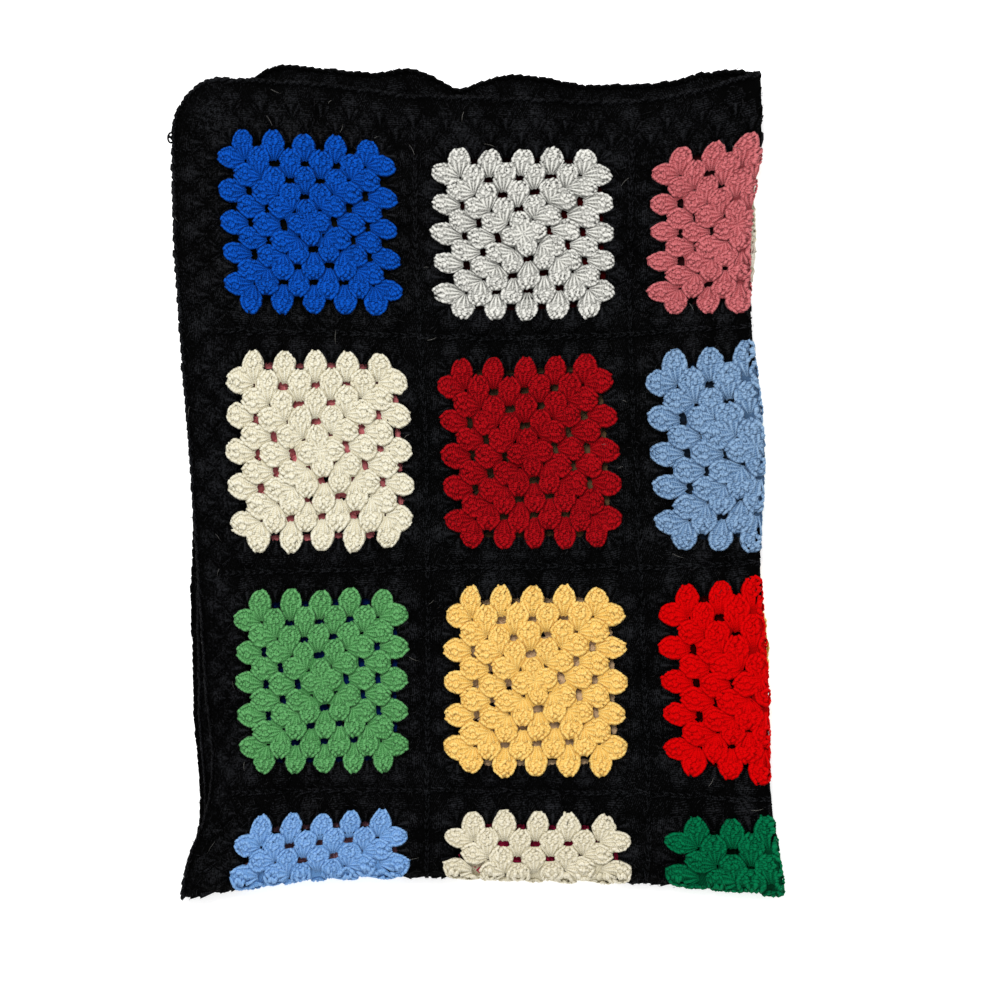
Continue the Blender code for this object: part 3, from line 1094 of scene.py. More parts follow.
    def loop(self, across: float, share: float, angle: float, sides: int, rings: int,
             rng: Chance) -> Shape:
        """Draw one wrap or top loop.

        Args:
            across: how far across the cluster its middle is.
            share: how far up the cluster.
            angle: its slant from straight across, in radians.
            sides: the number of faces round it.
            rings: the number of rings of points along it.
            rng: the source of chance.

        Returns:
            The loop.
        """
        way = (math.cos(angle), math.sin(angle))
        if abs(across) > self.edge:
            step = self.edge_step
            wider = self.half_width(share + step) - self.half_width(share - step)
            slope = wider * across / (2 * step * self.length)
            way = (slope / math.hypot(slope, 1), 1 / math.hypot(slope, 1))
            across = math.copysign(min(abs(across), self.edge_reach), across)
        x, y, _ = self.point(across, share, 0.0)
        top = self.crown(across, share)
        half = self.loop_half * rng.uniform(*self.loop_half_range)
        radius = self.loop_radius * rng.uniform(*self.loop_radius_range)
        middle = tuple((x + part * half * way[0], y + part * half * way[1],
                        top + self.loop_rise - self.loop_drop * abs(part))
                       for part in (-1, 0, 1))
        end = self.loop_end * radius
        run = Strand(middle, (end, radius, end)).sweep(sides, rings)
        # painted shade: its sides and ends, which go down between its neighbours, are darker
        depth, height, most = self.loop_light
        run.painted_light[:] = ramp((run.points[:, 2] - top + depth) / height) * most
        run.painted_light[:] += rng.normal(-self.loop_shade, self.light_scatter[1]) - self.rim_shade(across)
        return run

    def loops(self, rows: tuple[tuple[float, int], ...], sides: int, rings: int,
              rng: Chance) -> list[Shape]:
        """Draw the wraps and top loops, row upon row.

        Args:
            rows: the share of the length of each row, and its count of loops.
            sides: the number of faces round each loop.
            rings: the number of rings of points along each.
            rng: the source of chance.

        Returns:
            The loops.
        """
        runs = []
        for row, (share, count) in enumerate(rows):
            for i in range(count):
                across = ((i + 0.5) / count * 2 - 1) * self.loop_spread
                across += rng.normal(0, self.scatter[1])
                here = share + rng.normal(0, self.scatter[2])
                lean = 1 if (i + row) % 2 else -1
                angle = lean * (self.slant + rng.normal(0, self.slant_scatter))
                runs.append(self.loop(across, here, angle, sides, rings, rng))
        return runs

    def shade_pits(self, rng: Chance) -> list[Shape]:
        """Draw painted shade in the pits where a hook opened the top loops.

        Args:
            rng: the source of chance.

        Returns:
            The pits, each a short run of yarn painted dark as shade.
        """
        runs = []
        for _ in range(self.pits):
            across = rng.uniform(-self.pit_across, self.pit_across)
            share = rng.uniform(*self.pit_shares) - self.pit_bow * abs(across)
            x, y, _ = self.point(across, share, 0.0)
            lift = self.crown(across, share) + self.pit_lift
            angle = rng.uniform(0, math.pi)
            half = rng.uniform(*self.pit_half)
            dx, dy = half * math.cos(angle), half * math.sin(angle)
            ends = ((x - dx, y - dy, lift), (x + dx, y + dy, lift))
            run = Strand(ends, self.pit_radii).sweep(sides=4, rings=2)
            run.painted_light[:] = -rng.uniform(*self.pit_shade)
            runs.append(run)
        return runs

    def pattern(self, detail: Detail, rng: Chance) -> Shape:
        """Draw a whole cluster.

        Args:
            detail: how finely it is drawn.
            rng: the source of chance.

        Returns:
            The cluster, in millimetres.
        """
        sides, rings = detail.value
        if detail is Detail.PLAIN:
            return Shape.joined([self.body(self.few_sides, self.plain_shares),
                                 *self.feet(self.few_strands, sides, rings, rng)])
        if detail is Detail.MIDDLE:
            rows = tuple((share, count - 1) for share, count in self.rows[1:5])[::2]
            return Shape.joined([self.body(self.few_sides, self.middle_shares),
                                 *self.feet(self.few_strands, sides, rings + 1, rng),
                                 *self.loops(rows, sides, rings, rng)])
        return Shape.joined([self.body(self.body_sides, self.body_shares),
                             *self.feet(self.strands, sides - 1, rings, rng),
                             *self.loops(self.rows, sides, rings, rng),
                             *self.shade_pits(rng)])


# the last coloured round has room to spread, so its fans are broad below
BROAD: Table = (
    (-0.07, 1.6), (0.0, 3.3), (0.15, 6.2), (0.3, 8.7), (0.42, 9.8), (0.52, 9.8),
    (0.65, 8.9), (0.78, 7.7), (0.88, 6.5), (0.95, 5.1), (1.0, 3.9), (1.04, 2.5))
# smooth, springy yarn keeps each loop apart, so they look larger
SMOOTH_FAN = Fan(strand_reach=(0.42, 0.55), foot_depth=0.45, loop_radius=1.3,
                 loop_half=2.0, pits=4,
                 rows=((0.5, 3), (0.61, 4), (0.72, 4), (0.82, 4), (0.92, 3)))
SMOOTH_YARNS = (GREY,)
PATTERNS = 9                         # of each kind of cluster
Kit = dict[Detail, list[Shape]]      # patterns by how finely they are drawn


def fan_kits(fan: Fan, rng: Chance) -> tuple[Kit, Kit]:
    """Draw the patterns of one yarn's clusters.

    Args:
        fan: the cluster.
        rng: the source of chance.

    Returns:
        Patterns for most rounds and for the last coloured one.
    """
    inner, last = ({detail: [kind.pattern(detail, rng) for _ in range(PATTERNS)]
                    for detail in Detail}
                   for kind in (fan, replace(fan, outline=BROAD)))
    return inner, last


@dataclass(frozen=True)
class Rounds:
    """Where the clusters of a granny square are worked, sizes in mm."""

    pitch: float = 23.3
    bases: tuple[float, ...] = (-1.2, 11.3, 23.1, 35.8, 48.2, 61.5)
    lengths: tuple[float, ...] = (0.86, 0.89, 0.92, 0.96, 0.99, 0.95)
    breadths: tuple[float, ...] = (0.86, 0.95, 1.0, 1.0, 1.0, 1.0)
    colour_rounds: int = 5
    flare: float = 0.0018           # how far each fan leans out, radians a mm
    corner_lean: float = 0.05       # and the last corners' besides, radians

    def spaces(self, number: int) -> list[Triple]:
        """Return the clusters of one round.

        Args:
            number: the round, counted from 1 in the middle.

        Returns:
            The x and y of each space, from the square's middle with y up, and
            the turn of its outward direction.
        """
        base = self.bases[number - 1]
        last = (number - 1) / 2
        found = []
        for quarter in range(4):
            turn = quarter * math.pi / 2
            out = (math.sin(turn), math.cos(turn))
            side = (math.cos(turn), -math.sin(turn))
            for i in range(number):
                along = (i - last) * self.pitch
                lean = along * self.flare
                if number == self.colour_rounds and abs(i - last) == last:
                    lean += math.copysign(self.corner_lean, along)
                found.append((base * out[0] + along * side[0],
                              base * out[1] + along * side[1], turn + lean))
        return found


ROUNDS = Rounds()


def shown_side(u: float, v: float) -> int:
    """Return 1 where the front of the fabric shows, and -1 where its back."""
    past = 15 * MM
    return -1 if u > FOLD.right + past and v < FOLD.bottom else 1


def fineness(u: float, v: float, black: bool) -> Detail:
    """Return how finely a cluster at a flat place is drawn.

    Args:
        u: its place across the flat fabric.
        v: its place down it.
        black: whether it is of black yarn, which hides more.

    Returns:
        The fineness.
    """
    near, top_strip = 14 * MM, 34 * MM
    layer = FOLD.layer(u, v)
    seen_edge = abs(u - FOLD.right) < near or abs(v - FOLD.bottom) < near
    if layer is Layer.TOP or (seen_edge and layer is not Layer.THIRD):
        return Detail.MIDDLE if black else Detail.FULL
    if layer is Layer.BOTTOM or (layer is Layer.SECOND and v < top_strip):
        return Detail.MIDDLE
    return Detail.PLAIN


def work_clusters(places: list[Place], patterns: Kit, rng: Chance,
                  black: bool) -> Shape:
    """Work clusters at their places, each as finely as it needs.

    Args:
        places: the flat place of each cluster.
        patterns: the patterns to choose from.
        rng: the source of chance.
        black: whether they are of black yarn.

    Returns:
        All of them as one shape.
    """
    groups: dict[tuple[Detail, int], list[Place]] = {}
    for place in places:
        detail = fineness(place.u, place.v, black)
        which = int(rng.integers(len(patterns[detail])))
        groups.setdefault((detail, which), []).append(place)
    return Shape.joined([work(patterns[detail][which], group, rng,
                              under=detail is Detail.PLAIN and not black)
                         for (detail, which), group in groups.items()])


@dataclass(frozen=True)
class GrannySquare:
    """One square: its coloured rounds and its black outer round."""

    row: int
    column: int
    twist: float = 0.05             # how far the first rounds turn, radians
    twist_fade: float = 1.5         # how fast the later ones turn less
    fold_reach: float = 21 * MM     # the clusters this near the right fold
    fold_growth: float = 1.13       # spread this much more

    def places(self, numbers: Iterable[int], rng: Chance) -> list[Place]:
        """Return the flat places of the clusters of some rounds.

        Args:
            numbers: the rounds.
            rng: the source of chance.

        Returns:
            The place of each cluster.
        """
        mid_u, mid_v = SHEET.middle(self.row, self.column)
        found = []
        for number in numbers:
            twist = rng.normal(0, self.twist / number ** self.twist_fade)
            sin, cos = math.sin(twist), math.cos(twist)
            for x, y, turn in ROUNDS.spaces(number):
                u = mid_u + (x * cos + y * sin) * MM
                v = mid_v - (y * cos - x * sin) * MM
                near = abs(u - FOLD.right) < self.fold_reach
                grown = self.fold_growth if near else 1.0
                found.append(Place(u, v, turn + twist, shown_side(u, v),
                                   ROUNDS.lengths[number - 1] * grown,
                                   ROUNDS.breadths[number - 1] * grown))
        return found

    def build(self, kits: tuple[Kit, Kit], rng: Chance) -> list[Object]:
        """Work the square.

        Args:
            kits: patterns for most rounds and for the last coloured one.
            rng: the source of chance.

        Returns:
            Its coloured piece and its black piece.
        """
        yarn = COLOURS[self.row][self.column]
        name = f"square_{self.row + 1}_{self.column + 1}"
        usual, broad = kits
        last = ROUNDS.colour_rounds
        coloured = [work_clusters(self.places(rounds, rng), kit, rng, black=False)
                    for rounds, kit in ((range(1, last), usual), ([last], broad))]
        outer = work_clusters(self.places([last + 1], rng), usual, rng, black=True)
        return [make_piece(name + "_rounds", Shape.joined(coloured), [yarn]),
                make_piece(name + "_black_round", outer, [BLACK])]


def within(places: np.ndarray, loop: np.ndarray) -> np.ndarray:
    """Tell which flat places lie within an outline that bulges everywhere.

    Args:
        places: the flat places.
        loop: the outline's points.

    Returns:
        True or false for each place.
    """
    sides = np.roll(loop, -1, axis=0) - loop
    away = places[:, None] - loop[None]
    cross = sides[:, 0] * away[..., 1] - sides[:, 1] * away[..., 0]
    return (cross > 0).all(axis=1) | (cross < 0).all(axis=1)


@dataclass(frozen=True)
class Ground:
    """The fabric under the clusters: the yarn that passes behind them.

    It is one closed sheet with the gaps of every square cut through it, and
    holds the whole blanket together. Sizes in metres.
    """

    thickness: float = 1.2 * MM
    gap_half: Pair = (4.9 * MM, 3.2 * MM)
    gap_shape: Table = (             # shares of its half width and half height
        (1.0, -0.6), (0.8, 0.3), (0.35, 1.0), (-0.35, 1.0), (-0.8, 0.3), (-1.0, -0.6),
        (-0.5, -1.0), (0.5, -1.0))
    gap_inward: float = 2.9 * MM     # from a space to its gap's middle
    corner_gap: float = 1.6 * MM     # half the size of one in a corner space
    corner_inward: float = 1.5 * MM
    last_gap: float = 0.8            # how large a black round's gap is
    hidden_gap: float = 0.5          # and one deep inside the fold
    hidden_reach: float = 130 * MM   # from the right fold
    gap_rounds: tuple[int, ...] = (2, 3, 4, 5, 6)
    corner_slack: float = 1.0        # mm
    colour_reach: float = 51.5 * MM  # from a square's middle
    colour_corner: float = 5 * MM
    colour_slack: float = 1 * MM
    square_steps: int = 6
    bend_steps: int = 4
    bend_counts: tuple[int, int] = (60, 45)  # of points along and across a bend
    bend_clear: Pair = (12 * MM, 16 * MM)    # from the grid's points to a bend
    corner_steps: int = 6
    edge_step: float = 8 * MM
    inset: float = 1.2 * MM          # the edging covers the sheet's own edge
    end_clear: float = 1 * MM
    merge: float = 0.01 * MM
    yarn_width: float = 6.4          # mm
    painted_light: float = 0.1                 # painted shade, as it lies deep
    bend_light: float = -0.3           # painted shade where it shows between the fans at the bend
    fold_light: float = -0.62          # painted shade, dark as an open gap, where its gaps stay closed
    fold_reach: float = 28 * MM
    fold_ramp: float = 2 * MM
    past_fold: float = 8 * MM

    def gaps(self) -> list[list[Flat]]:
        """Find every gap that is cut through the flat fabric.

        Returns:
            The outline of each.
        """
        loops = []
        for row, column in SHEET.squares():
            mid_u, mid_v = SHEET.middle(row, column)
            for number in self.gap_rounds:
                edge = (number - 1) / 2 * ROUNDS.pitch - self.corner_slack
                coloured = number <= ROUNDS.colour_rounds
                for x, y, lean in ROUNDS.spaces(number):
                    turn = round(lean / (math.pi / 2)) * math.pi / 2
                    along = x * math.cos(turn) - y * math.sin(turn)
                    u, v = mid_u + x * MM, mid_v - y * MM
                    layer = FOLD.layer(u, v)
                    outer = layer in (Layer.TOP, Layer.BOTTOM)
                    if abs(along) < edge and coloured:
                        hidden = layer is Layer.THIRD and u < FOLD.right + self.hidden_reach
                        loops.append(self.gap(u, v, turn, self.hidden_gap if hidden else 1.0))
                    elif abs(along) < edge and outer:
                        loops.append(self.gap(u, v, turn, self.last_gap))
                    elif along > 0 and outer and coloured:
                        loops.append(self.small_gap(u - math.copysign(self.corner_inward, x),
                                                    v + math.copysign(self.corner_inward, y)))
        return [g for g in loops if self.clear_of_folds(g)]

    def small_gap(self, u: float, v: float) -> list[Flat]:
        """Return the outline of a gap in a corner space."""
        a = self.corner_gap
        return [(u + a, v + a), (u - a, v + a), (u - a, v - a), (u + a, v - a)]

    def gap(self, u: float, v: float, turn: float, size: float) -> list[Flat]:
        """Draw the outline of a gap.

        Args:
            u: its space's place across the flat fabric.
            v: its space's place down it.
            turn: the turn of its outward direction.
            size: its size as a share of the usual.

        Returns:
            The outline's points.
        """
        a, b = (half * size for half in self.gap_half)
        sin, cos = math.sin(turn), math.cos(turn)
        u, v = u - self.gap_inward * sin, v + self.gap_inward * cos
        return [(u + a * x * cos + b * y * sin, v + a * x * sin - b * y * cos)
                for x, y in self.gap_shape]

    @staticmethod
    def clear_of_folds(loop: list[Flat]) -> bool:
        """Tell whether a gap keeps off the bends.

        Args:
            loop: the gap's outline.

        Returns:
            True where it does.
        """
        bend_u, bend_v = FOLD.half_bend
        return (min(abs(u - FOLD.right) for u, _ in loop) > bend_u
                and min(abs(v - FOLD.bottom) for _, v in loop) > bend_v)

    def outline(self) -> list[Flat]:
        """Draw the flat fabric's outline, with its round corners.

        Returns:
            The outline's points.
        """
        r, width, length = SHEET.corner_radius, SHEET.width, SHEET.length
        loop: list[Flat] = []
        corners = [(width - r, length - r, 0), (r, length - r, 90), (r, r, 180),
                   (width - r, r, 270)]
        for i, (cu, cv, angle) in enumerate(corners):
            for step in range(self.corner_steps + 1):
                a = math.radians(angle + 90 * step / self.corner_steps)
                loop.append((cu + (r - self.inset) * math.cos(a),
                             cv + (r - self.inset) * math.sin(a)))
            nu, nv, _ = corners[(i + 1) % 4]
            a = math.radians(angle + 90)
            start = loop[-1]
            end = (nu + (r - self.inset) * math.cos(a), nv + (r - self.inset) * math.sin(a))
            count = max(2, round(math.dist(start, end) / self.edge_step))
            loop += [(start[0] + (end[0] - start[0]) * k / count,
                      start[1] + (end[1] - start[1]) * k / count) for k in range(1, count)]
        return loop

    def colour_loop(self, row: int, column: int) -> list[Flat]:
        """Draw the line where a square's colour ends on the fabric.

        Args:
            row: the square's row.
            column: its column.

        Returns:
            The line's points.
        """
        u, v = SHEET.middle(row, column)
        a, b = self.colour_reach, self.colour_reach - self.colour_corner
        around = [(a, b), (b, a), (-b, a), (-a, b), (-a, -b), (-b, -a), (b, -a), (a, -b)]
        return [(u + x, v + y) for x, y in around]

    def bend_rows(self) -> list[list[Flat]]:
        """Lay rows of points along both bends, from edge to edge.

        Returns:
            The rows.
        """
        steps = [k / self.bend_steps for k in range(-self.bend_steps, self.bend_steps + 1)]
        bend_u, bend_v = FOLD.half_bend
        clear = self.inset + self.end_clear
        along_v = np.linspace(clear, SHEET.length - clear, self.bend_counts[0])
        along_u = np.linspace(clear, SHEET.width - clear, self.bend_counts[1])
        return ([[(FOLD.right + bend_u * s, v) for v in along_v] for s in steps]
                + [[(u, FOLD.bottom + bend_v * s) for u in along_u] for s in steps])

    def flat(self) -> tuple[np.ndarray, list[tuple[int, ...]]]:
        """Divide the flat fabric into triangles round its gaps.

        Returns:
            The flat points and the triangles.
        """
        points: list[Flat] = []
        edges: list[tuple[int, int]] = []

        def chain(loop: list[Flat], closed: bool = True) -> None:
            """Add a line of points that the triangles keep.

            Args:
                loop: the points.
                closed: whether the last joins the first.
            """
            first = len(points)
            points.extend(loop)
            edges.extend((first + i, first + i + 1) for i in range(len(loop) - 1))
            if closed:
                edges.append((first + len(loop) - 1, first))

        chain(self.outline())
        gaps = self.gaps()
        for loop in gaps:
            chain(loop)
        for row, column in SHEET.squares():
            chain(self.colour_loop(row, column))
        for line in self.bend_rows():
            chain(line, closed=False)
        step = SHEET.square / self.square_steps
        for i in range(self.square_steps * SHEET.columns + 1):
            for j in range(self.square_steps * SHEET.rows + 1):
                u, v = SHEET.border + i * step, SHEET.border + j * step
                if (abs(u - FOLD.right) > self.bend_clear[0]
                        and abs(v - FOLD.bottom) > self.bend_clear[1]):
                    points.append((u, v))
        verts, _, faces, *_ = delaunay_2d_cdt([Vector(p) for p in points], edges, [], 1,
                                              self.merge)
        flat = np.array([tuple(v) for v in verts])
        middles = flat[np.array([tuple(f) for f in faces])].mean(axis=1)
        keep = np.ones(len(faces), dtype=bool)
        for loop in gaps:
            keep &= ~within(middles, np.array(loop))
        return flat, [tuple(f) for f, k in zip(faces, keep) if k]

    def closed_sheet(self) -> tuple[np.ndarray, np.ndarray]:
        """Give the flat triangles their thickness.

        Returns:
            The points and the triangles of a closed sheet.
        """
        flat, faces = self.flat()
        bm = bmesh.new()
        verts = [bm.verts.new((u, v, self.thickness / 2)) for u, v in flat]
        for face in faces:
            bm.faces.new([verts[i] for i in face])
        loose = [v for v in bm.verts if not v.link_faces]
        bmesh.ops.delete(bm, geom=loose, context="VERTS")
        raised = bmesh.ops.extrude_face_region(bm, geom=list(bm.faces))
        lower = [g for g in raised["geom"] if isinstance(g, bmesh.types.BMVert)]
        bmesh.ops.translate(bm, verts=lower, vec=(0, 0, -self.thickness))
        bmesh.ops.triangulate(bm, faces=list(bm.faces))
        bmesh.ops.recalc_face_normals(bm, faces=list(bm.faces))
        bm.verts.index_update()
        at = np.array([tuple(v.co) for v in bm.verts])
        order = np.array([[v.index for v in f.verts] for f in bm.faces])
        bm.free()
        # u and v run as x and -y, so a face seen from the front turns round
        return at, order[:, ::-1]

    def shade(self, u: np.ndarray, v: np.ndarray) -> np.ndarray:
        """Return the ground's painted light, with painted shade where it lies deep.

        Args:
            u: places across the flat fabric.
            v: places down it.

        Returns:
            Its painted light at each place.
        """
        column = (u - SHEET.border) / SHEET.square % 1 - 0.5
        row = (v - SHEET.border) / SHEET.square % 1 - 0.5
        coloured = (np.maximum(abs(column), abs(row)) * SHEET.square
                    < self.colour_reach + self.colour_slack)
        away, bend = abs(u - FOLD.right), FOLD.half_bend[0]
        fold = np.interp(away, (bend, bend + self.fold_ramp), (self.bend_light, self.fold_light))
        painted_light = np.where(away < self.fold_reach, fold, self.painted_light)
        return np.where((u > FOLD.right + self.past_fold) & coloured, seen_through(u, v), painted_light)

    def slots(self, middles: np.ndarray, yarns: list[Yarn]) -> np.ndarray:
        """Return which yarn each face has.

        Args:
            middles: the flat places of the faces' middles.
            yarns: the yarns; the first is the one outside the squares.

        Returns:
            A number for each face.
        """
        column = np.floor((middles[:, 0] - SHEET.border) / SHEET.square)
        row = np.floor((middles[:, 1] - SHEET.border) / SHEET.square)
        found = np.zeros(len(middles), dtype=int)
        for r, c in SHEET.squares():
            away = np.abs(middles - SHEET.middle(r, c))
            coloured = ((row == r) & (column == c)
                        & (away.max(axis=1) < self.colour_reach)
                        & (away.sum(axis=1) < 2 * self.colour_reach - self.colour_corner))
            found[coloured] = yarns.index(COLOURS[r][c])
        return found

    def build(self) -> Object:
        """Work the ground as one closed sheet in the place of its solid.

        Returns:
            The piece.
        """
        at, faces = self.closed_sheet()
        strand = at[faces][..., :2] / MM
        strand[..., 1] /= self.yarn_width
        yarns = [BLACK] + list(dict.fromkeys(y for line in COLOURS for y in line))
        shape = Shape(FOLD.carry(*at.T), faces, strand, self.shade(at[:, 0], at[:, 1]))
        middles = at[faces][..., :2].mean(axis=1)
        return make_piece("ground", shape, yarns, self.slots(middles, yarns))


@dataclass(frozen=True)
class Border:
    """Two black rounds of clusters all round, sizes in mm."""

    pitch: float = 165 / 7
    lines: Table = ((39.2, 0.5), (27.0, 0.0))    # from the edge, and shift in pitches
    overlap: float = 6.0             # of the straight rounds into the corners
    corner_fans: tuple[tuple[float, tuple[float, ...]], ...] = (
        (-1.0, (-30, 0, 30)), (11.0, (-34, -11.5, 11.5, 34)))    # out, degrees

    def places(self) -> list[Place]:
        """Find the flat place, turn and shown side of every cluster.

        Returns:
            The places.
        """
        width, length = SHEET.width / MM, SHEET.length / MM
        clear, start = SHEET.corner_radius / MM, SHEET.border / MM
        found = []
        for base, shift in self.lines:
            for span, cross, flip in ((width, length, False), (length, width, True)):
                for i in range(round((span - 2 * start) / self.pitch) + 1):
                    along = start + (i + shift) * self.pitch
                    if not clear - self.overlap < along < span - clear + self.overlap:
                        continue
                    for far in (False, True):
                        across = cross - base if far else base
                        if flip:
                            found.append((across, along, math.pi / 2 if far else -math.pi / 2))
                        else:
                            found.append((along, across, math.pi if far else 0.0))
        found += self.corners(width, length, clear)
        return [Place(u * MM, v * MM, turn, shown_side(u * MM, v * MM))
                for u, v, turn in found]

    def corners(self, width: float, length: float, radius: float) -> list[Triple]:
        """Find the clusters that fill the round corners.

        Args:
            width: the flat blanket's width.
            length: its length.
            radius: its corners' radius.

        Returns:
            The u, v and turn of each.
        """
        found = []
        for u, v, turn in ((width - radius, radius, 45), (width - radius, length - radius, 135),
                           (radius, length - radius, 225), (radius, radius, 315)):
            for out, angles in self.corner_fans:
                for way in (math.radians(turn + angle) for angle in angles):
                    found.append((u + out * math.sin(way), v - out * math.cos(way), way))
        return found

    def build(self, patterns: Kit, rng: Chance) -> Object:
        """Work the border's clusters as one piece."""
        clusters = work_clusters(self.places(), patterns, rng, black=True)
        return make_piece("border_clusters", clusters, [BLACK])


@dataclass(frozen=True)
class Joins:
    """The black seams between squares, crocheted together, sizes in mm."""

    pitch: float = 5.9
    radius: float = 0.8
    end: float = 0.7                 # the radius of a strand's ends
    line: tuple[Point, ...] = ((1.65, -0.6, 1.1), (0.75, 2.95, 2.0), (0.35, 6.3, 1.1))
    radius_range: Pair = (0.95, 1.05)
    loose: float = 1.7
    end_clear: float = 2 * MM        # from the border
    past_fold: float = 12 * MM

    def pattern(self, rng: Chance) -> Shape:
        """Draw one stitch of the seam: two strands that lean together.

        Args:
            rng: the source of chance.

        Returns:
            The stitch.
        """
        lines = [tuple((side * x, y, lift) for x, y, lift in self.line) for side in (-1, 1)]
        return strand_pair(lines, self.radius, self.end, self.radius_range, rng)

    def places(self) -> list[Place]:
        """Find the place of every stitch on the top and the underside.

        Returns:
            The places.
        """
        start, pitch = SHEET.border / 2, self.pitch * MM
        found = [(SHEET.border + i * SHEET.square, v, math.pi)
                 for i in range(1, SHEET.columns)
                 for v in np.arange(start, SHEET.length - start, pitch)]
        found += [(u, SHEET.border + j * SHEET.square, math.pi / 2)
                  for j in range(1, SHEET.rows)
                  for u in np.arange(start, SHEET.width - start, pitch)]
        clear = SHEET.border - self.end_clear
        return [Place(u, v, turn) for u, v, turn in found
                if u < FOLD.right + self.past_fold and clear < u < SHEET.width - clear
                and clear < v < SHEET.length - clear]

    def build(self, rng: Chance) -> Object:
        """Work all the seams as one piece."""
        stitches = work(self.pattern(rng), self.places(), rng, self.loose)
        return make_piece("joining_seams", stitches, [BLACK])


@dataclass(frozen=True)
class Edging:
    """The last round: a chain of loops along the outer edge, sizes in mm."""

    pitch: float = 6.0
    radius: float = 1.95
    end: float = 0.75                # the radius of a loop's ends
    inset: float = 2.2               # from the outer edge to the chain's middle
    lift: float = 0.75
    line: tuple[Point, ...] = ((-3.9, -1.6, 1.1), (-0.4, 0.5, 1.5), (3.6, 0.3, 0.5))
    radius_range: Pair = (0.95, 1.08)
    loose: float = 1.1

    def pattern(self, rng: Chance) -> Shape:
        """Draw one link: two loops that lie over the fabric's edge.

        Args:
            rng: the source of chance.

        Returns:
            The link.
        """
        lines = [tuple((x, y, lift * share) for x, y, share in self.line)
                 for lift in (self.lift, -self.lift)]
        return strand_pair(lines, self.radius, self.end, self.radius_range, rng)

    def places(self) -> list[Place]:
        """Find the place of every link, right round the blanket.

        Returns:
            The places.
        """
        width, length, r = SHEET.width, SHEET.length, SHEET.corner_radius
        out_by, pitch = r - self.inset * MM, self.pitch * MM
        bend = math.pi / 2 * out_by
        sides = [width - 2 * r, length - 2 * r] * 2
        corners = [(width - r, r), (width - r, length - r), (r, length - r), (r, r)]
        found = []
        offset = 0.0
        for i, (side, (cu, cv)) in enumerate(zip(sides, corners)):
            turn = i * math.pi / 2
            sin, cos = math.sin(turn), math.cos(turn)
            start = (cu - cos * side + sin * out_by, cv - sin * side - cos * out_by)
            while offset < side:
                found.append(Place(start[0] + cos * offset, start[1] + sin * offset, turn))
                offset += pitch
            offset -= side
            while offset < bend:
                a = turn + offset / out_by
                found.append(Place(cu + math.sin(a) * out_by, cv - math.cos(a) * out_by, a))
                offset += pitch
            offset -= bend
        return found

    def build(self, rng: Chance) -> Object:
        """Work the whole edging as one piece."""
        links = work(self.pattern(rng), self.places(), rng, self.loose)
        return make_piece("edging_chain", links, [BLACK])


@dataclass(frozen=True)
class Fibres:
    """Loose fibres that stand off the black yarn, and pale lint, in mm."""

    fuzz: int = 1500
    kinds: int = 3                   # of fuzz
    fuzz_length: float = 3.0
    lint: int = 35
    lint_length: float = 6.5
    length_range: Pair = (0.6, 1.6)
    lifts: Triple = (2.4, 3.5, 2.9)
    bow: float = 0.15                # a share of its length
    radius: float = 0.17
    taper: float = 3.0               # how many times thinner and less bowed its tip is
    edge_share: float = 0.35         # of the edging's links that shed one
    edge_turn: float = 1.0           # how far such a one may turn, radians
    edge_lengths: Pair = (0.8, 1.8)
    edge_line: tuple[Point, ...] = ((0, 1.0, 0.5), (0.4, 2.6, 0.9), (0.1, 4.0, 0.4))
    edge_radii: Triple = (0.2, 0.17, 0.08)
    black_from: float = 59.0         # from a square's middle
    edge_clear: float = 2.0

    def pattern(self, length: float, rng: Chance) -> Shape:
        """Draw one bowed fibre, lying on the top of the black clusters.

        Args:
            length: its length.
            rng: the source of chance.

        Returns:
            The fibre.
        """
        bow = length * rng.uniform(-self.bow, self.bow)
        line = tuple(zip((0, bow, bow / self.taper), (0, length / 2, length), self.lifts))
        radii = (self.radius, self.radius, self.radius / self.taper)
        return Strand(line, radii).sweep(sides=3, rings=4)

    def places(self, count: int, rng: Chance) -> list[Place]:
        """Scatter places over the black of the top layer.

        Args:
            count: the number of places.
            rng: the source of chance.

        Returns:
            The places.
        """
        found: list[Place] = []
        edge, clear = SHEET.border, self.edge_clear * MM
        while len(found) < count:
            u, v = rng.uniform(clear, FOLD.right), rng.uniform(clear, FOLD.bottom)
            across = abs((u - edge) % SHEET.square - SHEET.square / 2)
            down = abs((v - edge) % SHEET.square - SHEET.square / 2)
            if min(u, v) > edge and max(across, down) < self.black_from * MM:
                continue
            found.append(Place(u, v, rng.uniform(0, 2 * math.pi), 1,
                               rng.uniform(*self.length_range)))
        return found

    def build(self, rng: Chance) -> list[Object]:
        """Scatter the fibres.

        Args:
            rng: the source of chance.

        Returns:
            The fuzz and the lint.
        """
        links = [place for place in Edging().places() if rng.random() < self.edge_share]
        edge = [place._replace(turn=place.turn + rng.uniform(-self.edge_turn, self.edge_turn),
                               length=rng.uniform(*self.edge_lengths)) for place in links]
        shed = Strand(self.edge_line, self.edge_radii).sweep(sides=3, rings=3)
        fuzz = [work(self.pattern(self.fuzz_length, rng),
                     self.places(self.fuzz // self.kinds, rng), rng)
                for _ in range(self.kinds)]
        fuzz.append(work(shed, edge, rng))
        loose = make_piece("loose_fibres", Shape.joined(fuzz), [FUZZ])
        lint = work(self.pattern(self.lint_length, rng), self.places(self.lint, rng), rng)
        return [loose, make_piece("lint", lint, [LINT])]


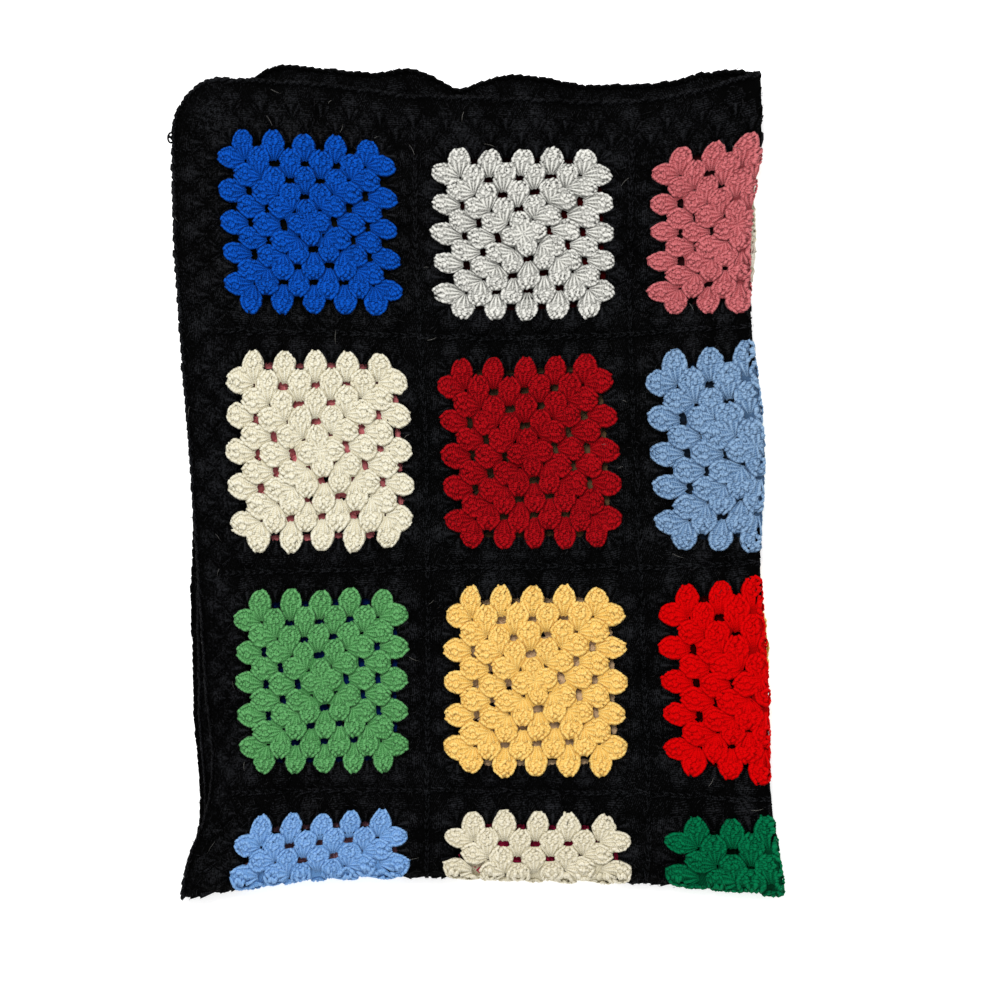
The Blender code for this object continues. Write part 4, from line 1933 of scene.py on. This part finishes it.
@dataclass(frozen=True)
class Knot:
    """A yarn end that is knotted at the left edge, sizes in mm."""

    u: float = 1.8
    v: float = 51.0
    radius: float = 0.85
    loose: float = 0.1
    runs: tuple[tuple[Point, ...], ...] = (
        ((2.5, -1.5, 0.0), (3.8, 2.6, 0.6), (1.4, 4.9, 0.9),
         (-2.0, 4.6, 0.5), (-3.8, 2.6, 0.4), (-2.5, -1.5, 0.0)),
        ((-2.2, -1.0, 1.4), (0.2, 2.9, 1.8), (2.6, 4.3, 1.0)),
        ((1.0, -1.5, 0.4), (0.7, 2.2, 1.4), (-0.2, 5.0, 0.7)),
    )

    def build(self, rng: Chance) -> Object:
        """Tie the knot.

        Args:
            rng: the source of chance.

        Returns:
            The piece.
        """
        shape = Shape.joined([Strand(run, (self.radius,)).sweep(sides=6, rings=12)
                              for run in self.runs])
        place = Place(self.u * MM, self.v * MM, -math.pi / 2)
        return make_piece("yarn_knot", work(shape, [place], rng, self.loose), [BLACK])


# ------------------------------------------------------------------ the studio

@dataclass(frozen=True)
class Studio:
    """A pale table, soft light from above, and the camera."""

    table_size: float = 6.0
    camera_over: Pair = (17.4 * MM, -14.5 * MM)
    camera_height: float = 2.2       # above the top of the blanket
    top_height: float = 20 * MM
    view_width: float = 0.757
    sensor: float = 36.0             # mm
    lamp_place: Point = (-0.6, 1.6, 2.6)
    lamp_size: float = 1.4
    lamp_power: float = 60.0
    fill: float = 0.72

    def table(self, scene: Scene) -> None:
        """Lay the table.

        Args:
            scene: the scene.
        """
        bm = bmesh.new()
        bmesh.ops.create_grid(bm, x_segments=2, y_segments=2, size=self.table_size / 2)
        mesh = bpy.data.meshes.new("table_top")
        bm.to_mesh(mesh)
        bm.free()
        mesh.materials.append(TableTop().material())
        table = bpy.data.objects.new("table_top", mesh)
        scene.collection.objects.link(table)

    def light(self, scene: Scene) -> None:
        """Hang the soft lamp and fill the room with even light.

        Args:
            scene: the scene.
        """
        lamp = bpy.data.lights.new("soft_box", "AREA")
        lamp.shape = "SQUARE"
        lamp.size = self.lamp_size
        lamp.energy = self.lamp_power
        box = bpy.data.objects.new("soft_box", lamp)
        box.location = self.lamp_place
        box.rotation_euler = (-Vector(self.lamp_place)).to_track_quat("-Z", "Y").to_euler()
        scene.collection.objects.link(box)
        world = bpy.data.worlds.new("studio")
        world.use_nodes = True
        air = world.node_tree.nodes["Background"]
        air.inputs["Color"].default_value = (1.0, 1.0, 1.0, 1.0)
        air.inputs["Strength"].default_value = self.fill
        scene.world = world

    def camera(self, scene: Scene) -> None:
        """Hang the camera straight above the blanket.

        Args:
            scene: the scene.
        """
        data = bpy.data.cameras.new("camera")
        data.sensor_width = self.sensor
        data.lens = self.sensor * self.camera_height / self.view_width
        camera = bpy.data.objects.new("camera", data)
        camera.location = (*self.camera_over, self.top_height + self.camera_height)
        scene.collection.objects.link(camera)
        scene.camera = camera

    def build(self) -> None:
        """Set up the table, the light and the camera."""
        scene = bpy.context.scene
        scene.view_settings.view_transform = "Standard"
        self.table(scene)
        self.light(scene)
        self.camera(scene)


def main() -> None:
    """Work the blanket piece by piece, then set up the studio."""
    logging.basicConfig(level=logging.INFO, format="%(message)s")
    rng = np.random.default_rng(SEED)
    usual, smooth = fan_kits(Fan(), rng), fan_kits(SMOOTH_FAN, rng)
    ground = Ground().build()
    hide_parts("blanket")
    pieces: list[Object] = []
    for row, column in SHEET.squares():
        kits = smooth if COLOURS[row][column] in SMOOTH_YARNS else usual
        pieces += GrannySquare(row, column).build(kits, rng)
    pieces.append(Border().build(usual[0], rng))
    pieces.append(Joins().build(rng))
    pieces.append(Edging().build(rng))
    pieces.append(Knot().build(rng))
    pieces += Fibres().build(rng)
    Studio().build()
    total = sum(len(p.data.polygons) for p in [ground, *pieces])
    log.info("%d pieces, %d triangles", len(pieces) + 1, total)


if __name__ == "__main__":
    main()
